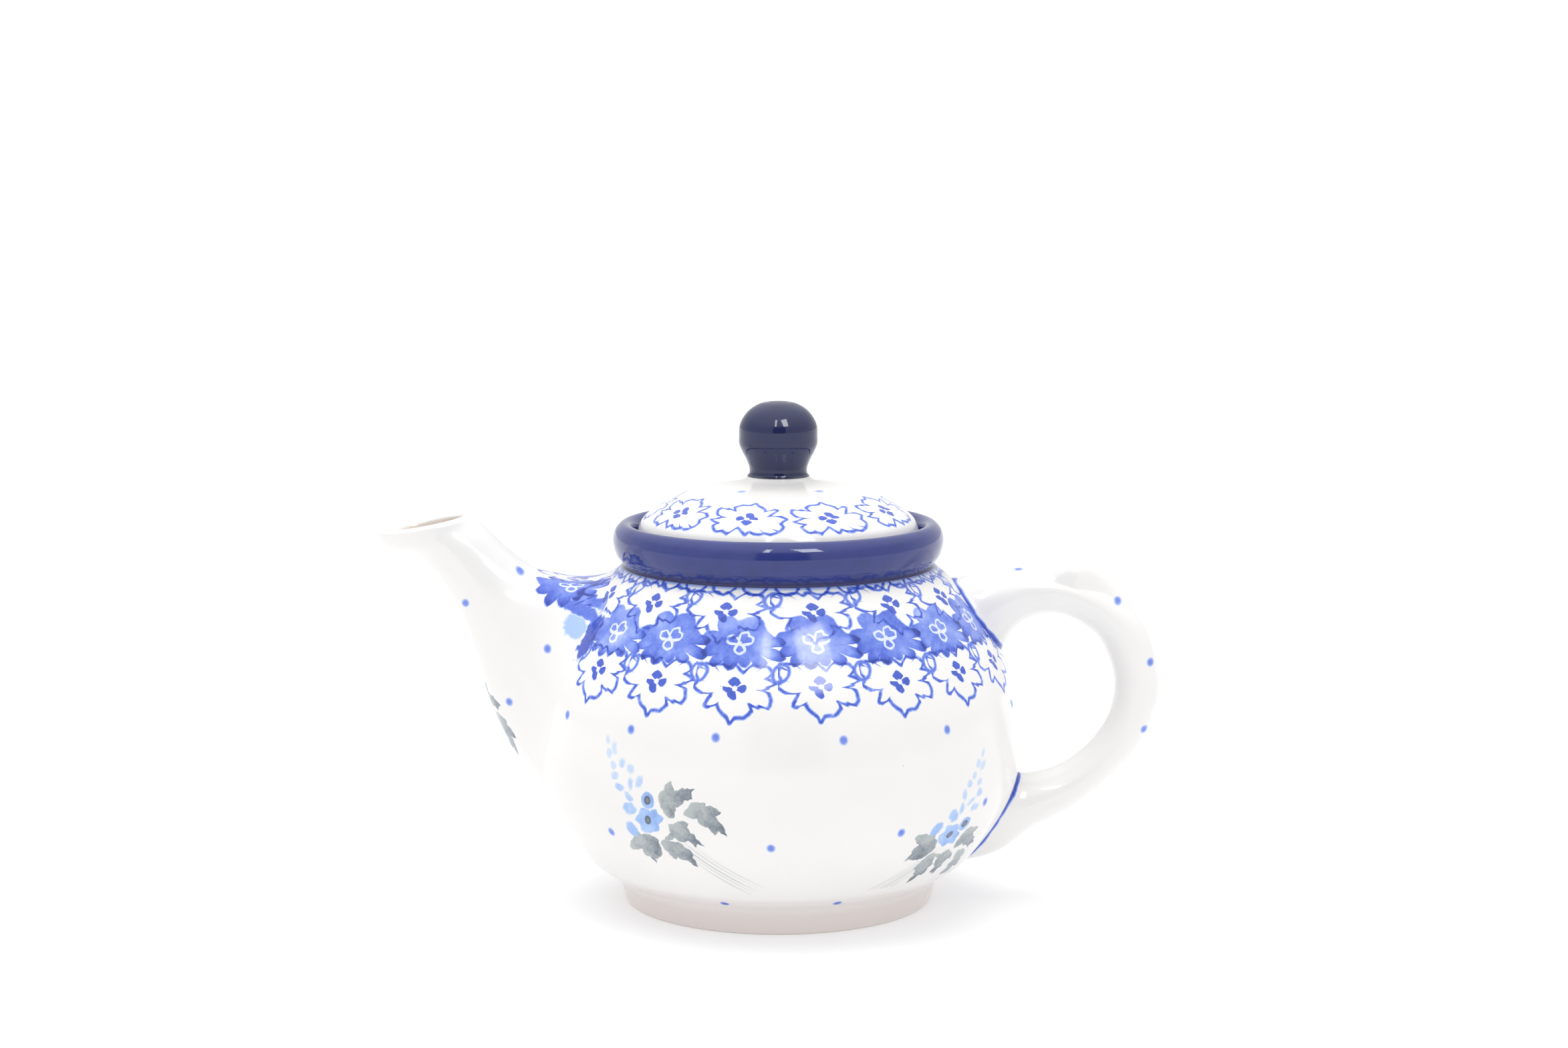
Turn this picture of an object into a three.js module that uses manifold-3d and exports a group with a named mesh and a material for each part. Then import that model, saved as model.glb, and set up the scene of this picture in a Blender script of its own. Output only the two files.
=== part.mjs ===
// A one-litre stoneware teapot with a lift-off lid, in millimetres, +Z up.
// The pot stands on z = 0. The spout points to -X and the handle to +X.
import * as THREE from 'three';
import * as BufferGeometryUtils from 'three/addons/utils/BufferGeometryUtils.js';
import Module from 'manifold-3d';

const wasm = await Module();
wasm.setup();

// ---- Driving dimensions ----
const spoutReach = 120.5; // pot axis to the tip of the spout
const handleReach = 114.5; // pot axis to the back of the handle
const jointGap = 0.3; // left between clay pieces that are luted together
const wall = 4.5; // thickness of the pot's wall

const footHeight = 4.4;
const footRadius = 45.9; // where it touches the table
const footTopRadius = 47.3;
const footInnerRadius = 38.5;

const bodyTop = 101.4; // top of the thrown globe, under the rim collar
const neckRadius = 46.9; // outside of the globe there
const floorTop = 11.5; // inside of the pot's floor
const floorUnderside = 6.2; // recessed inside the foot ring

const rimBottom = bodyTop + jointGap;
const rimCrest = 114.3;
const rimRadius = 49.4;
const ledgeTop = 109.0; // the gallery that the lid rests on
const ledgeUnderside = 105.6;
const ledgeRadius = 37.0; // opening of the neck

const lidSeat = ledgeTop + jointGap;
const lidRadius = 41.9;
const lidTop = 127.9; // flat land under the knob
const lidUnderside = 121.2; // top of the hollow under the dome
const flangeRadius = 35.2; // the ring under the lid that drops into the neck
const flangeWall = 3.2;
const flangeBottom = 99.0;
const steamHoleRadius = 1.8;
const steamHoleDistance = 25.0; // from the pot axis, on the lid's far side

const knobTop = 150.3;
const knobRadius = 11.5;
const knobCentre = 139.2;
const knobFootRadius = 9.0; // where it stands on the lid
const knobNeckRadius = 8.5;
const knobNeckBottom = 129.0;
const knobNeckTop = 130.8;

const spoutWall = 4.0;
const lipWall = 2.6; // the spout's wall at its mouth
const strainerHoleRadius = 2.5;
const strainerPitch = 11.5; // from the middle hole to the ring around it
const strainerRing = 6; // holes in that ring
const strainerX = -68;
const strainerZ = 60;

const nubReach = [8.8, 6.4, 6.2]; // half sizes of the thumb rest along, across and up
const nubTilt = 24; // degrees that it leans with the handle
const nubPlace = [92.6, 0, 96.2];

const aroundPot = 48; // facets around the globe, rim and lid
const aroundKnob = 28;
const aroundHole = 10;
const aroundSpout = 24;
const alongSpout = 16;
const aroundHandle = 16;
const alongHandle = 26;

// ---- Colours ----
const glazeWhite = 0xe9e5e1;
const cobalt = 0x2b3370;
const glazeRoughness = 0.12;

const clay = (colour) => new THREE.MeshStandardMaterial({
  color: colour,
  roughness: glazeRoughness,
  metalness: 0,
});

// ---- Solids ----

// A closed mesh with its shared vertices merged, as a solid for joining and cutting.
function solid(geometry) {
  const bare = geometry.clone();
  bare.deleteAttribute('normal');
  bare.deleteAttribute('uv');
  const merged = BufferGeometryUtils.mergeVertices(bare, 1e-4);
  const mesh = new wasm.Mesh({
    numProp: 3,
    vertProperties: Float32Array.from(merged.attributes.position.array),
    triVerts: Uint32Array.from(merged.index.array),
  });
  return new wasm.Manifold(mesh);
}

function geometryOf(manifold) {
  const mesh = manifold.getMesh();
  const geometry = new THREE.BufferGeometry();
  geometry.setAttribute('position', new THREE.BufferAttribute(mesh.vertProperties, 3));
  geometry.setIndex(new THREE.BufferAttribute(mesh.triVerts, 1));
  geometry.computeVertexNormals();
  return geometry;
}

// A profile of [radius, z] points turned about the pot's axis.
function turned(profile, segments = aroundPot) {
  const points = profile.map(([radius, z]) => new THREE.Vector2(radius, z));
  const geometry = new THREE.LatheGeometry(points, segments);
  geometry.rotateX(Math.PI / 2);
  return geometry;
}

const smoothCurve = (vectors) => new THREE.CatmullRomCurve3(vectors, false, 'catmullrom', 0.5);

// A curve through [x, z] points in the plane y = 0.
const planeCurve = (points) => smoothCurve(points.map(([x, z]) => new THREE.Vector3(x, 0, z)));

// A round drill of that radius and length, along +Y, with its middle at the origin.
const drill = (radius, length) => new THREE.CylinderGeometry(radius, radius, length, aroundHole);

// A closed bar whose two edges in the plane y = 0 run along curves a and b, and
// which is halfWidth(t) wide to each side. The cylinder's rings become its sections.
function barBetween(a, b, halfWidth, around, along, inset = () => 0) {
  const geometry = new THREE.CylinderGeometry(1, 1, 1, around, along);
  const position = geometry.attributes.position;
  const centre = new THREE.Vector3();
  const reach = new THREE.Vector3();
  for (let i = 0; i < position.count; i += 1) {
    const t = THREE.MathUtils.clamp(position.getY(i) + 0.5, 0, 1);
    const start = a.getPoint(t);
    const end = b.getPoint(t);
    centre.addVectors(start, end).multiplyScalar(0.5);
    reach.subVectors(end, start).multiplyScalar(0.5);
    reach.setLength(reach.length() - inset(t));
    const across = position.getX(i);
    const sideways = position.getZ(i) * (halfWidth(t) - inset(t));
    position.setXYZ(i, centre.x + reach.x * across, sideways, centre.z + reach.z * across);
  }
  return geometry;
}

// Linear steps through a list of values, for t from 0 to 1.
function stepsThrough(values) {
  return (t) => {
    const place = t * (values.length - 1);
    const index = Math.min(Math.floor(place), values.length - 2);
    return THREE.MathUtils.lerp(values[index], values[index + 1], place - index);
  };
}

// ---- Body ----

// Outside of the globe, from the groove above the foot up to the neck.
const globeOutline = [
  [47.3, footHeight + jointGap],
  [47.7, 6.6],
  [49.2, 8.4],
  [52.9, 10.8],
  [57.5, 14.3],
  [63.4, 21.3],
  [68.0, 28.4],
  [71.4, 36.4],
  [73.0, 46.5],
  [72.6, 55.0],
  [70.8, 65.5],
  [67.2, 75.0],
  [61.3, 85.0],
  [53.0, 96.0],
  [neckRadius, bodyTop],
];
const wallStart = 5; // the first point of it that the inside follows

function bodyShell() {
  const inside = globeOutline
    .slice(wallStart)
    .map(([radius, z]) => [radius - wall, z])
    .reverse();
  const profile = [
    [0, floorUnderside],
    [footInnerRadius, floorUnderside],
    [footInnerRadius + 0.5, footHeight + jointGap],
    ...globeOutline,
    ...inside,
    [50, floorTop + 2.1],
    [40, floorTop],
    [0, floorTop],
  ];
  return solid(turned(profile));
}

// A hole and a ring of holes round it, through the wall where the spout stands.
function strainerHoles() {
  const spots = [[0, strainerZ]];
  for (let i = 0; i < strainerRing; i += 1) {
    const angle = (i / strainerRing) * 2 * Math.PI;
    spots.push([strainerPitch * Math.sin(angle), strainerZ + strainerPitch * Math.cos(angle)]);
  }
  return spots.map(([y, z]) => {
    const hole = drill(strainerHoleRadius, 40);
    hole.rotateZ(Math.PI / 2);
    hole.translate(strainerX, y, z);
    return solid(hole);
  });
}

function footRing() {
  return turned([
    [footInnerRadius + 1.5, 0],
    [footRadius, 0],
    [footRadius + 0.5, 1.2],
    [footTopRadius, footHeight],
    [footInnerRadius + 0.6, footHeight],
    [footInnerRadius + 1.5, 0],
  ]);
}

// The rolled rim, with the ledge that carries the lid on its inner side.
const rimOutline = [
  [neckRadius, rimBottom],
  [48.4, 105.2],
  [rimRadius, 109.0],
  [48.8, 112.0],
  [47.2, 113.9],
  [45.6, rimCrest],
  [44.0, 113.7],
  [42.9, 112.0],
];

function rimCollar() {
  return turned([
    ...rimOutline,
    [42.7, ledgeTop],
    [ledgeRadius, ledgeTop],
    [ledgeRadius, ledgeUnderside],
    [neckRadius - wall, rimBottom],
    rimOutline[0],
  ]);
}

// What the luted pieces are cut back from: the globe and rim, swollen by the gap.
function potEnvelope() {
  const swollen = (outline) => outline.map(([radius, z]) => [radius + jointGap, z]);
  return solid(turned([
    [0, 0],
    [footRadius + jointGap, 0],
    ...swollen(globeOutline),
    ...swollen(rimOutline.slice(0, 6)),
    [0, rimCrest],
  ]));
}

// ---- Spout ----

// The lower and upper edges of the spout, matched section by section from
// inside the wall out to the mouth.
const spoutLowerEdge = planeCurve([
  [-55, 24],
  [-66, 26.2],
  [-74.6, 34.2],
  [-81.2, 46.8],
  [-87.2, 62],
  [-91.4, 75],
  [-95.3, 86],
  [-100.7, 94.9],
  [-108.6, 102.4],
  [-spoutReach, 108.8],
]);
const spoutUpperEdge = planeCurve([
  [-30, 68],
  [-36, 80],
  [-43, 91],
  [-51, 97.4],
  [-60, 96.8],
  [-68, 98.3],
  [-75, 101.1],
  [-81, 106],
  [-86, 111],
  [-90.8, 115.4],
]);
const spoutHalfWidths = [26, 25.5, 24.5, 22.5, 19, 16, 13.5, 12, 11, 10.5];

// The hollow runs on past both ends of the spout, so that it is open there.
const throughMouth = (edge) => {
  const end = edge.points.at(-1);
  const before = edge.points.at(-2);
  const beyond = end.clone().add(end.clone().sub(before).setLength(6));
  return smoothCurve([...edge.points, beyond]);
};

function spout() {
  const halfWidth = stepsThrough(spoutHalfWidths);
  const channelHalfWidth = stepsThrough([...spoutHalfWidths, spoutHalfWidths.at(-1)]);
  const wallAlong = (t) => THREE.MathUtils.lerp(spoutWall, lipWall, t);
  const outside = solid(barBetween(
    spoutUpperEdge,
    spoutLowerEdge,
    halfWidth,
    aroundSpout,
    alongSpout,
  ));
  const channel = solid(barBetween(
    throughMouth(spoutUpperEdge),
    throughMouth(spoutLowerEdge),
    channelHalfWidth,
    aroundSpout - 4,
    alongSpout + 1,
    wallAlong,
  ));
  return outside.subtract(channel).subtract(potEnvelope());
}

// ---- Handle ----

// Inner and outer edges of the ear, matched from the shoulder round to the foot.
const handleInnerEdge = planeCurve([
  [57, 69.5],
  [66.2, 75.8],
  [70.8, 82],
  [76.4, 85.7],
  [83.8, 86.4],
  [91.3, 83.2],
  [97.4, 77.2],
  [101, 66],
  [99, 55],
  [93, 46.2],
  [84.5, 40],
  [75, 37.4],
  [68.5, 38],
  [58, 42],
]);
const handleOuterEdge = planeCurve([
  [43, 92],
  [54.5, 97.2],
  [65, 99.8],
  [76, 100.7],
  [88, 98.8],
  [99.5, 93.6],
  [109.6, 83],
  [handleReach, 68],
  [113, 55.6],
  [106, 42.2],
  [92, 29.4],
  [77, 21.4],
  [66, 13.8],
  [50, 9.5],
]);
const handleHalfWidths = [12.5, 11.5, 10.5, 9.6, 9, 8.8, 8.8, 8.8, 8.8, 8.8, 9, 10, 12, 14];

const handleSolid = (inset) => solid(barBetween(
  handleInnerEdge,
  handleOuterEdge,
  stepsThrough(handleHalfWidths),
  aroundHandle,
  alongHandle,
  inset,
));

function handle() {
  return handleSolid(() => 0).subtract(potEnvelope());
}

// A pressed nub on the handle's top, tilted with it.
function thumbRest() {
  const nub = new THREE.SphereGeometry(1, 20, 12);
  nub.scale(...nubReach);
  nub.rotateY(THREE.MathUtils.degToRad(nubTilt));
  nub.translate(...nubPlace);
  return solid(nub).subtract(handleSolid(() => -jointGap));
}

// ---- Lid ----

// Top of the dome, from its edge in the gallery up to the land under the knob.
const domeOutline = [
  [41.3, lidSeat],
  [lidRadius, 110.6],
  [41.7, 112.6],
  [40.7, 114.9],
  [38.6, 116.9],
  [34.6, 119.5],
  [28.2, 122.7],
  [20, 125],
  [13.5, 126.1],
  [10.6, 126.8],
  [9.2, lidTop],
];
const domeUnderside = [
  [0, lidUnderside],
  [14, 120.6],
  [24, 118.2],
  [31.5, 114.4],
];

function lid() {
  const dome = solid(turned([
    ...domeUnderside,
    [flangeRadius + 0.4, lidSeat],
    ...domeOutline,
    [0, lidTop],
  ]));
  const hole = drill(steamHoleRadius, 30);
  hole.rotateX(Math.PI / 2);
  hole.translate(0, steamHoleDistance, lidUnderside);
  return dome.subtract(solid(hole));
}

// The flange hangs from the dome's underside into the neck.
function lidFlange() {
  const inner = flangeRadius - flangeWall;
  return turned([
    [inner + 0.6, flangeBottom],
    [flangeRadius - 0.6, flangeBottom],
    [flangeRadius, flangeBottom + 1],
    [flangeRadius, lidSeat],
    [inner, 113.2],
    [inner, flangeBottom + 1],
    [inner + 0.6, flangeBottom],
  ]);
}

function lidKnob() {
  const ball = [];
  const steps = 9;
  const lowest = Math.asin((knobNeckTop + 0.6 - knobCentre) / knobRadius);
  for (let i = 0; i <= steps; i += 1) {
    const angle = THREE.MathUtils.lerp(lowest, Math.PI / 2, i / steps);
    ball.push([knobRadius * Math.cos(angle), knobCentre + (knobTop - knobCentre) * Math.sin(angle)]);
  }
  ball.at(-1)[0] = 0;
  return turned([
    [0, lidTop + jointGap],
    [knobFootRadius, lidTop + jointGap],
    [knobNeckRadius, knobNeckBottom],
    [knobNeckRadius - 0.1, knobNeckTop],
    ...ball,
  ], aroundKnob);
}

// ---- Assembly ----

function piece(name, geometry, colour) {
  const mesh = new THREE.Mesh(geometry, clay(colour));
  mesh.name = name;
  return mesh;
}

const pierced = strainerHoles().reduce((body, hole) => body.subtract(hole), bodyShell());

const pot = new THREE.Group();
pot.add(
  piece('body_shell', geometryOf(pierced), glazeWhite),
  piece('foot_ring', footRing(), glazeWhite),
  piece('rim_collar', rimCollar(), cobalt),
  piece('spout', geometryOf(spout()), glazeWhite),
  piece('handle', geometryOf(handle()), glazeWhite),
  piece('thumb_rest', geometryOf(thumbRest()), glazeWhite),
);

const cover = new THREE.Group();
cover.add(
  piece('lid', geometryOf(lid()), glazeWhite),
  piece('lid_flange', lidFlange(), glazeWhite),
  piece('lid_knob', lidKnob(), cobalt),
);

// The origin is under the middle of the whole teapot, so the pot's axis stands
// off it by half the difference between the two reaches.
const teapot = new THREE.Group();
teapot.add(pot, cover);
teapot.position.x = (spoutReach - handleReach) / 2;

export default teapot;
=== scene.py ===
"""Looks for the painted stoneware teapot: fine meshes around the CAD frame, glazes and a painted pattern.

Lengths are in millimetres from the pot's axis and from the table, and MM turns them into the frame's metres.
Angles around the pot are counted from the front (-Y), positive towards the handle (+X).
"""

import math

import bpy
import numpy as np
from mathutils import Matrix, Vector


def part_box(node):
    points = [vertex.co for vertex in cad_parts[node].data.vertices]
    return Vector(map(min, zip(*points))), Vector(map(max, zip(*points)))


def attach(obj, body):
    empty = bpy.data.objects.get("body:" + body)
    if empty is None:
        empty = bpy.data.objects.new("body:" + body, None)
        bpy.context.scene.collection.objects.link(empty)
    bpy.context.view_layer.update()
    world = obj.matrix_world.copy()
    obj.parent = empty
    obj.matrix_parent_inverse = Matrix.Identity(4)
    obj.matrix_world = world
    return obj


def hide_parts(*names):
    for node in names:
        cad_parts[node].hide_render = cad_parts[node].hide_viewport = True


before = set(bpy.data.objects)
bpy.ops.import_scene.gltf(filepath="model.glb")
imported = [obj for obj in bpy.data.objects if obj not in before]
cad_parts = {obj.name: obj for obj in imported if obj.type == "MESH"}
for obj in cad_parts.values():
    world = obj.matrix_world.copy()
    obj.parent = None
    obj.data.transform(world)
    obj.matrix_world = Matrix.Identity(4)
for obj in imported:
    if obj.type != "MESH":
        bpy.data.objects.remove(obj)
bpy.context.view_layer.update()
MM = 0.001

rim_low, rim_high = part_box("rim_collar")
globe_low, globe_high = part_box("body_shell")
lid_low, lid_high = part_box("lid")
knob_low, knob_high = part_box("lid_knob")

AXIS_X = (rim_low.x + rim_high.x) / 2
TABLE_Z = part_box("foot_ring")[0].z
GLOBE_RADIUS = (globe_high.y - globe_low.y) / 2 / MM
GLOBE_TOP = (globe_high.z - TABLE_Z) / MM
RIM_RADIUS = (rim_high.x - rim_low.x) / 2 / MM
RIM_CREST = (rim_high.z - TABLE_Z) / MM
LID_RADIUS = (lid_high.x - lid_low.x) / 2 / MM
LID_SEAT = (lid_low.z - TABLE_Z) / MM
KNOB_RADIUS = (knob_high.x - knob_low.x) / 2 / MM
KNOB_TOP = (knob_high.z - TABLE_Z) / MM
SPOUT_TIP = (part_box("spout")[0].x - AXIS_X) / MM
HANDLE_BACK = (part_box("handle")[1].x - AXIS_X) / MM

WALL = 4.5
FOOT_TOP = 4.7
FOOT_INNER_RADIUS = 40.0
FLOOR_UNDERSIDE = 6.2
FLOOR_TOP = 11.5
NECK_RADIUS = 46.9
LEDGE_TOP = 109.0
LEDGE_UNDERSIDE = 105.6
LEDGE_RADIUS = 37.0
FLANGE_RADIUS = 35.2
FLANGE_WALL = 3.2
FLANGE_BOTTOM = 99.0
LID_UNDERSIDE = 121.2
KNOB_SEAM = 127.9
SHARP = math.radians(40)


# ---- Outlines ----

CORNER_STEPS = 5


def unit(vectors):
    return vectors / np.linalg.norm(vectors, axis=-1, keepdims=True)


def without(normal, vectors):
    """What the vectors have square to the normal."""
    return vectors - normal * (vectors * normal).sum(-1, keepdims=True)


def smooth(points, steps):
    """A Catmull-Rom curve through the points, with that many steps between each two."""
    p = np.array(points, float)
    p = np.vstack([2 * p[0] - p[1], p, 2 * p[-1] - p[-2]])
    rows = []
    for i in range(1, len(p) - 2):
        for t in np.arange(steps) / steps:
            a = 2 * p[i]
            b = p[i + 1] - p[i - 1]
            c = 2 * p[i - 1] - 5 * p[i] + 4 * p[i + 1] - p[i + 2]
            d = -p[i - 1] + 3 * p[i] - 3 * p[i + 1] + p[i + 2]
            rows.append((a + b * t + c * t**2 + d * t**3) / 2)
    rows.append(p[-2])
    return [tuple(row) for row in rows]


def rounded(points, closed=False):
    """The outline with each corner that names a radius, as its third number, bent round."""
    count = len(points)
    result = []
    for i, point in enumerate(points):
        corner = np.array(point[:2], float)
        radius = point[2] if len(point) > 2 else 0
        if radius == 0 or (not closed and i in (0, count - 1)):
            result.append(corner)
            continue
        before = np.array(points[i - 1][:2], float) - corner
        after = np.array(points[(i + 1) % count][:2], float) - corner
        start = corner + unit(before) * radius
        end = corner + unit(after) * radius
        for t in np.linspace(0, 1, CORNER_STEPS + 1):
            result.append((1 - t) ** 2 * start + 2 * t * (1 - t) * corner + t**2 * end)
    return np.array(result)


GLOBE = smooth([
    (47.3, FOOT_TOP), (47.7, 6.6), (49.2, 8.4), (52.9, 10.8), (57.5, 14.3), (63.4, 21.3), (68.0, 28.4),
    (71.4, 36.4), (GLOBE_RADIUS, 46.5), (72.6, 55.0), (70.8, 65.5), (67.2, 75.0), (61.3, 85.0),
    (53.0, 96.0), (NECK_RADIUS, GLOBE_TOP),
], steps=10)
GLOBE_R, GLOBE_Z = np.array(GLOBE).T
GLOBE_S = np.concatenate([[0], np.cumsum(np.hypot(np.diff(GLOBE_R), np.diff(GLOBE_Z)))])
WAIST = 46.5
ARC_AT_WAIST = 49.85
GLOBE_S += ARC_AT_WAIST - np.interp(WAIST, GLOBE_Z, GLOBE_S)


def globe_radius(z):
    return np.interp(z, GLOBE_Z, GLOBE_R)


def globe_arc(z):
    """Length along the globe's outline, up from its foot to the height z."""
    return np.interp(z, GLOBE_Z, GLOBE_S)


def off_globe(points):
    """Distance from each point to the globe's outer surface, below zero inside it."""
    r = np.hypot(points[..., 0], points[..., 1])[..., None]
    z = points[..., 2][..., None]
    ar, az = GLOBE_R[:-1], GLOBE_Z[:-1]
    dr, dz = np.diff(GLOBE_R), np.diff(GLOBE_Z)
    t = np.clip(((r - ar) * dr + (z - az) * dz) / (dr**2 + dz**2), 0, 1)
    distance = np.hypot(r - ar - t * dr, z - az - t * dz).min(-1)
    outside = np.hypot(points[..., 0], points[..., 1]) > globe_radius(points[..., 2])
    return np.where(outside, distance, -distance)


def globe_normal(points):
    """Unit vectors square to the globe's surface."""
    step = 0.2
    slopes = [off_globe(points + step * axis) - off_globe(points - step * axis) for axis in np.eye(3)]
    return unit(np.stack(slopes, -1))


# ---- Meshes ----


def put_in_scene(name, data):
    obj = bpy.data.objects.new(name, data)
    bpy.context.scene.collection.objects.link(obj)
    return obj


def add_object(name, vertices, faces):
    mesh = bpy.data.meshes.new(name)
    placed = np.array(vertices, float) * MM + np.array([AXIS_X, 0, TABLE_Z])
    mesh.from_pydata(placed.tolist(), [], faces)
    mesh.validate()
    mesh.shade_smooth()
    return put_in_scene(name, mesh)


def places(obj):
    """The object's vertices, in millimetres from the pot's axis and the table."""
    flat = np.zeros(len(obj.data.vertices) * 3)
    obj.data.vertices.foreach_get("co", flat)
    return (flat.reshape(-1, 3) - np.array([AXIS_X, 0, TABLE_Z])) / MM


def grid_faces(rows, columns, wrap_rows):
    """Faces between rings of vertices; the last ring also joins the first if the rows wrap."""
    faces = []
    for i in range(rows if wrap_rows else rows - 1):
        a = i * columns
        b = (i + 1) % rows * columns
        for j in range(columns):
            k = (j + 1) % columns
            faces.append((a + j, a + k, b + k, b + j))
    return faces


def turn(name, outline, around):
    """Turns an outline of (radius, z), anticlockwise as seen with the axis on the left, about the pot's axis.

    It ends on the axis at both ends, or closes on itself."""
    outline = np.array(outline, float)
    on_axis = outline[0, 0] < 1e-6
    ring = outline[1:-1] if on_axis else outline
    angle = np.arange(around) / around * 2 * np.pi
    x = ring[:, :1] * np.sin(angle)
    y = -ring[:, :1] * np.cos(angle)
    z = np.repeat(ring[:, 1:], around, axis=1)
    vertices = np.stack([x, y, z], -1).reshape(-1, 3)
    faces = grid_faces(len(ring), around, not on_axis)
    if on_axis:
        first, last = len(vertices), len(vertices) + 1
        poles = [[0, 0, outline[0, 1]], [0, 0, outline[-1, 1]]]
        vertices = np.vstack([vertices, poles])
        end = (len(ring) - 1) * around
        for j in range(around):
            k = (j + 1) % around
            faces.append((first, k, j))
            faces.append((last, end + j, end + k))
    obj = add_object(name, vertices, faces)
    obj.data.set_sharp_from_angle(angle=SHARP)
    return obj


def add_attribute(obj, name, values):
    attribute = obj.data.attributes.new(name, "FLOAT", "POINT")
    attribute.data.foreach_set("value", np.ascontiguousarray(values, np.float32).ravel())


def drill(obj, holes):
    """Cuts round holes, each (start, end, radius), through the object."""
    for start, end, radius in holes:
        start, end = Vector(start), Vector(end)
        depth = (end - start).length
        bpy.ops.mesh.primitive_cylinder_add(vertices=32, radius=radius * MM, depth=depth * MM)
        cutter = bpy.context.object
        cutter.location = Vector((AXIS_X, 0, TABLE_Z)) + (start + end) / 2 * MM
        cutter.rotation_euler = (end - start).to_track_quat("Z", "Y").to_euler()
        modifier = obj.modifiers.new("hole", "BOOLEAN")
        modifier.object = cutter
        modifier.operation = "DIFFERENCE"
        modifier.solver = "EXACT"
        bpy.context.view_layer.update()
        cut = bpy.data.meshes.new_from_object(obj.evaluated_get(bpy.context.evaluated_depsgraph_get()))
        obj.modifiers.clear()
        obj.data = cut
        bpy.data.objects.remove(cutter)
    obj.data.set_sharp_from_angle(angle=SHARP)


# ---- Bars: the spout and the handle are sections between two edges ----

# How deep a soft joint's first ring lies in the globe, and how far its curve keeps to each side.
UNDER_SKIN = 0.15
SOFTNESS = 0.62


class Bar:
    """Sections between two matched edges in the plane y = 0.

    Its surface is point(t, angle): t runs along the bar, and the angle runs round a section from the first
    edge, at 0, to the second, at half a turn. The half of a section beside the first edge is an ellipse at
    a shoulder of 0, and squarer as the shoulder grows."""

    def __init__(self, first, second, half_widths, shoulders=(0, 0)):
        self.first = np.array(smooth(first, 24))
        self.second = np.array(smooth(second, 24))
        self.t = np.linspace(0, 1, len(self.first))
        self.widths = self.spread(half_widths)
        self.shoulders = self.spread(shoulders)

    def spread(self, values):
        curve = np.array(smooth([(value, 0) for value in values], 24))[:, 0]
        return np.interp(self.t, np.linspace(0, 1, len(curve)), curve)

    def point(self, t, angle, inset=0.0):
        t, angle = np.broadcast_arrays(np.asarray(t, float), np.asarray(angle, float))
        a = np.stack([np.interp(t, self.t, self.first[:, i]) for i in (0, 1)], -1)
        b = np.stack([np.interp(t, self.t, self.second[:, i]) for i in (0, 1)], -1)
        centre = (a + b) / 2
        reach = (a - b) / 2
        length = np.linalg.norm(reach, axis=-1, keepdims=True)
        reach = reach * (1 - np.asarray(inset)[..., None] / length)
        across, side = np.cos(angle), np.sin(angle)
        power = 1 - np.interp(t, self.t, self.shoulders) * np.clip(across, 0, 1)
        side = np.sign(side) * np.abs(side) ** power
        width = np.interp(t, self.t, self.widths) - inset
        flat = centre + reach * across[..., None]
        return np.stack([flat[..., 0], -side * width, flat[..., 1]], -1)

    def normal(self, t, angle):
        step = 2e-3
        along = self.point(t + step, angle) - self.point(t - step, angle)
        round_it = self.point(t, angle + step) - self.point(t, angle - step)
        return unit(np.cross(round_it, along))

    def where(self, angle, standing, distance, low, high):
        """For each angle, the t between low and high where a point that stands that far off the bar's surface
        is at that distance from the globe. The distance has to grow from low to high."""
        low = np.full_like(angle, low)
        high = np.full_like(angle, high)
        for _ in range(26):
            middle = (low + high) / 2
            place = self.point(middle, angle) + self.normal(middle, angle) * standing[:, None]
            near = off_globe(place) < distance
            low = np.where(near, middle, low)
            high = np.where(near, high, middle)
        return (low + high) / 2

    def root(self, angle, over_globe, over_bar, low, high, rows):
        """Rings of a soft joint. They start under the globe's skin, that far out from where the bar comes out
        of it, and end on the bar where it stands that far off the globe."""
        flush = np.zeros_like(angle)
        meet = self.point(self.where(angle, flush, 0, low, high), angle)
        end = self.where(angle, flush, over_bar, low, high)
        top = self.point(end, angle)
        into = unit(self.point(end + (low - high) * 0.01, angle) - top)
        outward = without(globe_normal(meet), meet - meet.mean(0))
        foot = meet + unit(outward) * over_globe[:, None]
        normal = globe_normal(foot)
        foot -= normal * (off_globe(foot) + UNDER_SKIN)[:, None]
        back = without(normal, meet - foot)
        reach = np.linalg.norm(top - meet, axis=-1, keepdims=True)
        first, second = foot + back * SOFTNESS, top + into * reach * SOFTNESS
        rings = []
        for t in np.linspace(0, 1, rows):
            ends = (1 - t) ** 3 * foot + t**3 * top
            rings.append(ends + 3 * t * (1 - t) * ((1 - t) * first + t * second))
        return rings, end

    def direction(self):
        """Unit vector that points out of the bar's end."""
        step = (self.first[-1] + self.second[-1]) - (self.first[-4] + self.second[-4])
        return unit(np.array([step[0], 0, step[1]]))


# ---- The pot ----

STRAINER_PLACE = (-68, 60)
STRAINER_PITCH = 11.5
STRAINER_HOLE = 2.5
WALL_START = 21.5


def strainer_holes():
    x, z = STRAINER_PLACE
    spots = [(0, z)]
    for i in range(6):
        angle = math.radians(60 * i)
        spots.append((STRAINER_PITCH * math.sin(angle), z + STRAINER_PITCH * math.cos(angle)))
    return [((x - 20, y, height), (x + 20, y, height), STRAINER_HOLE) for y, height in spots]


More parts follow.
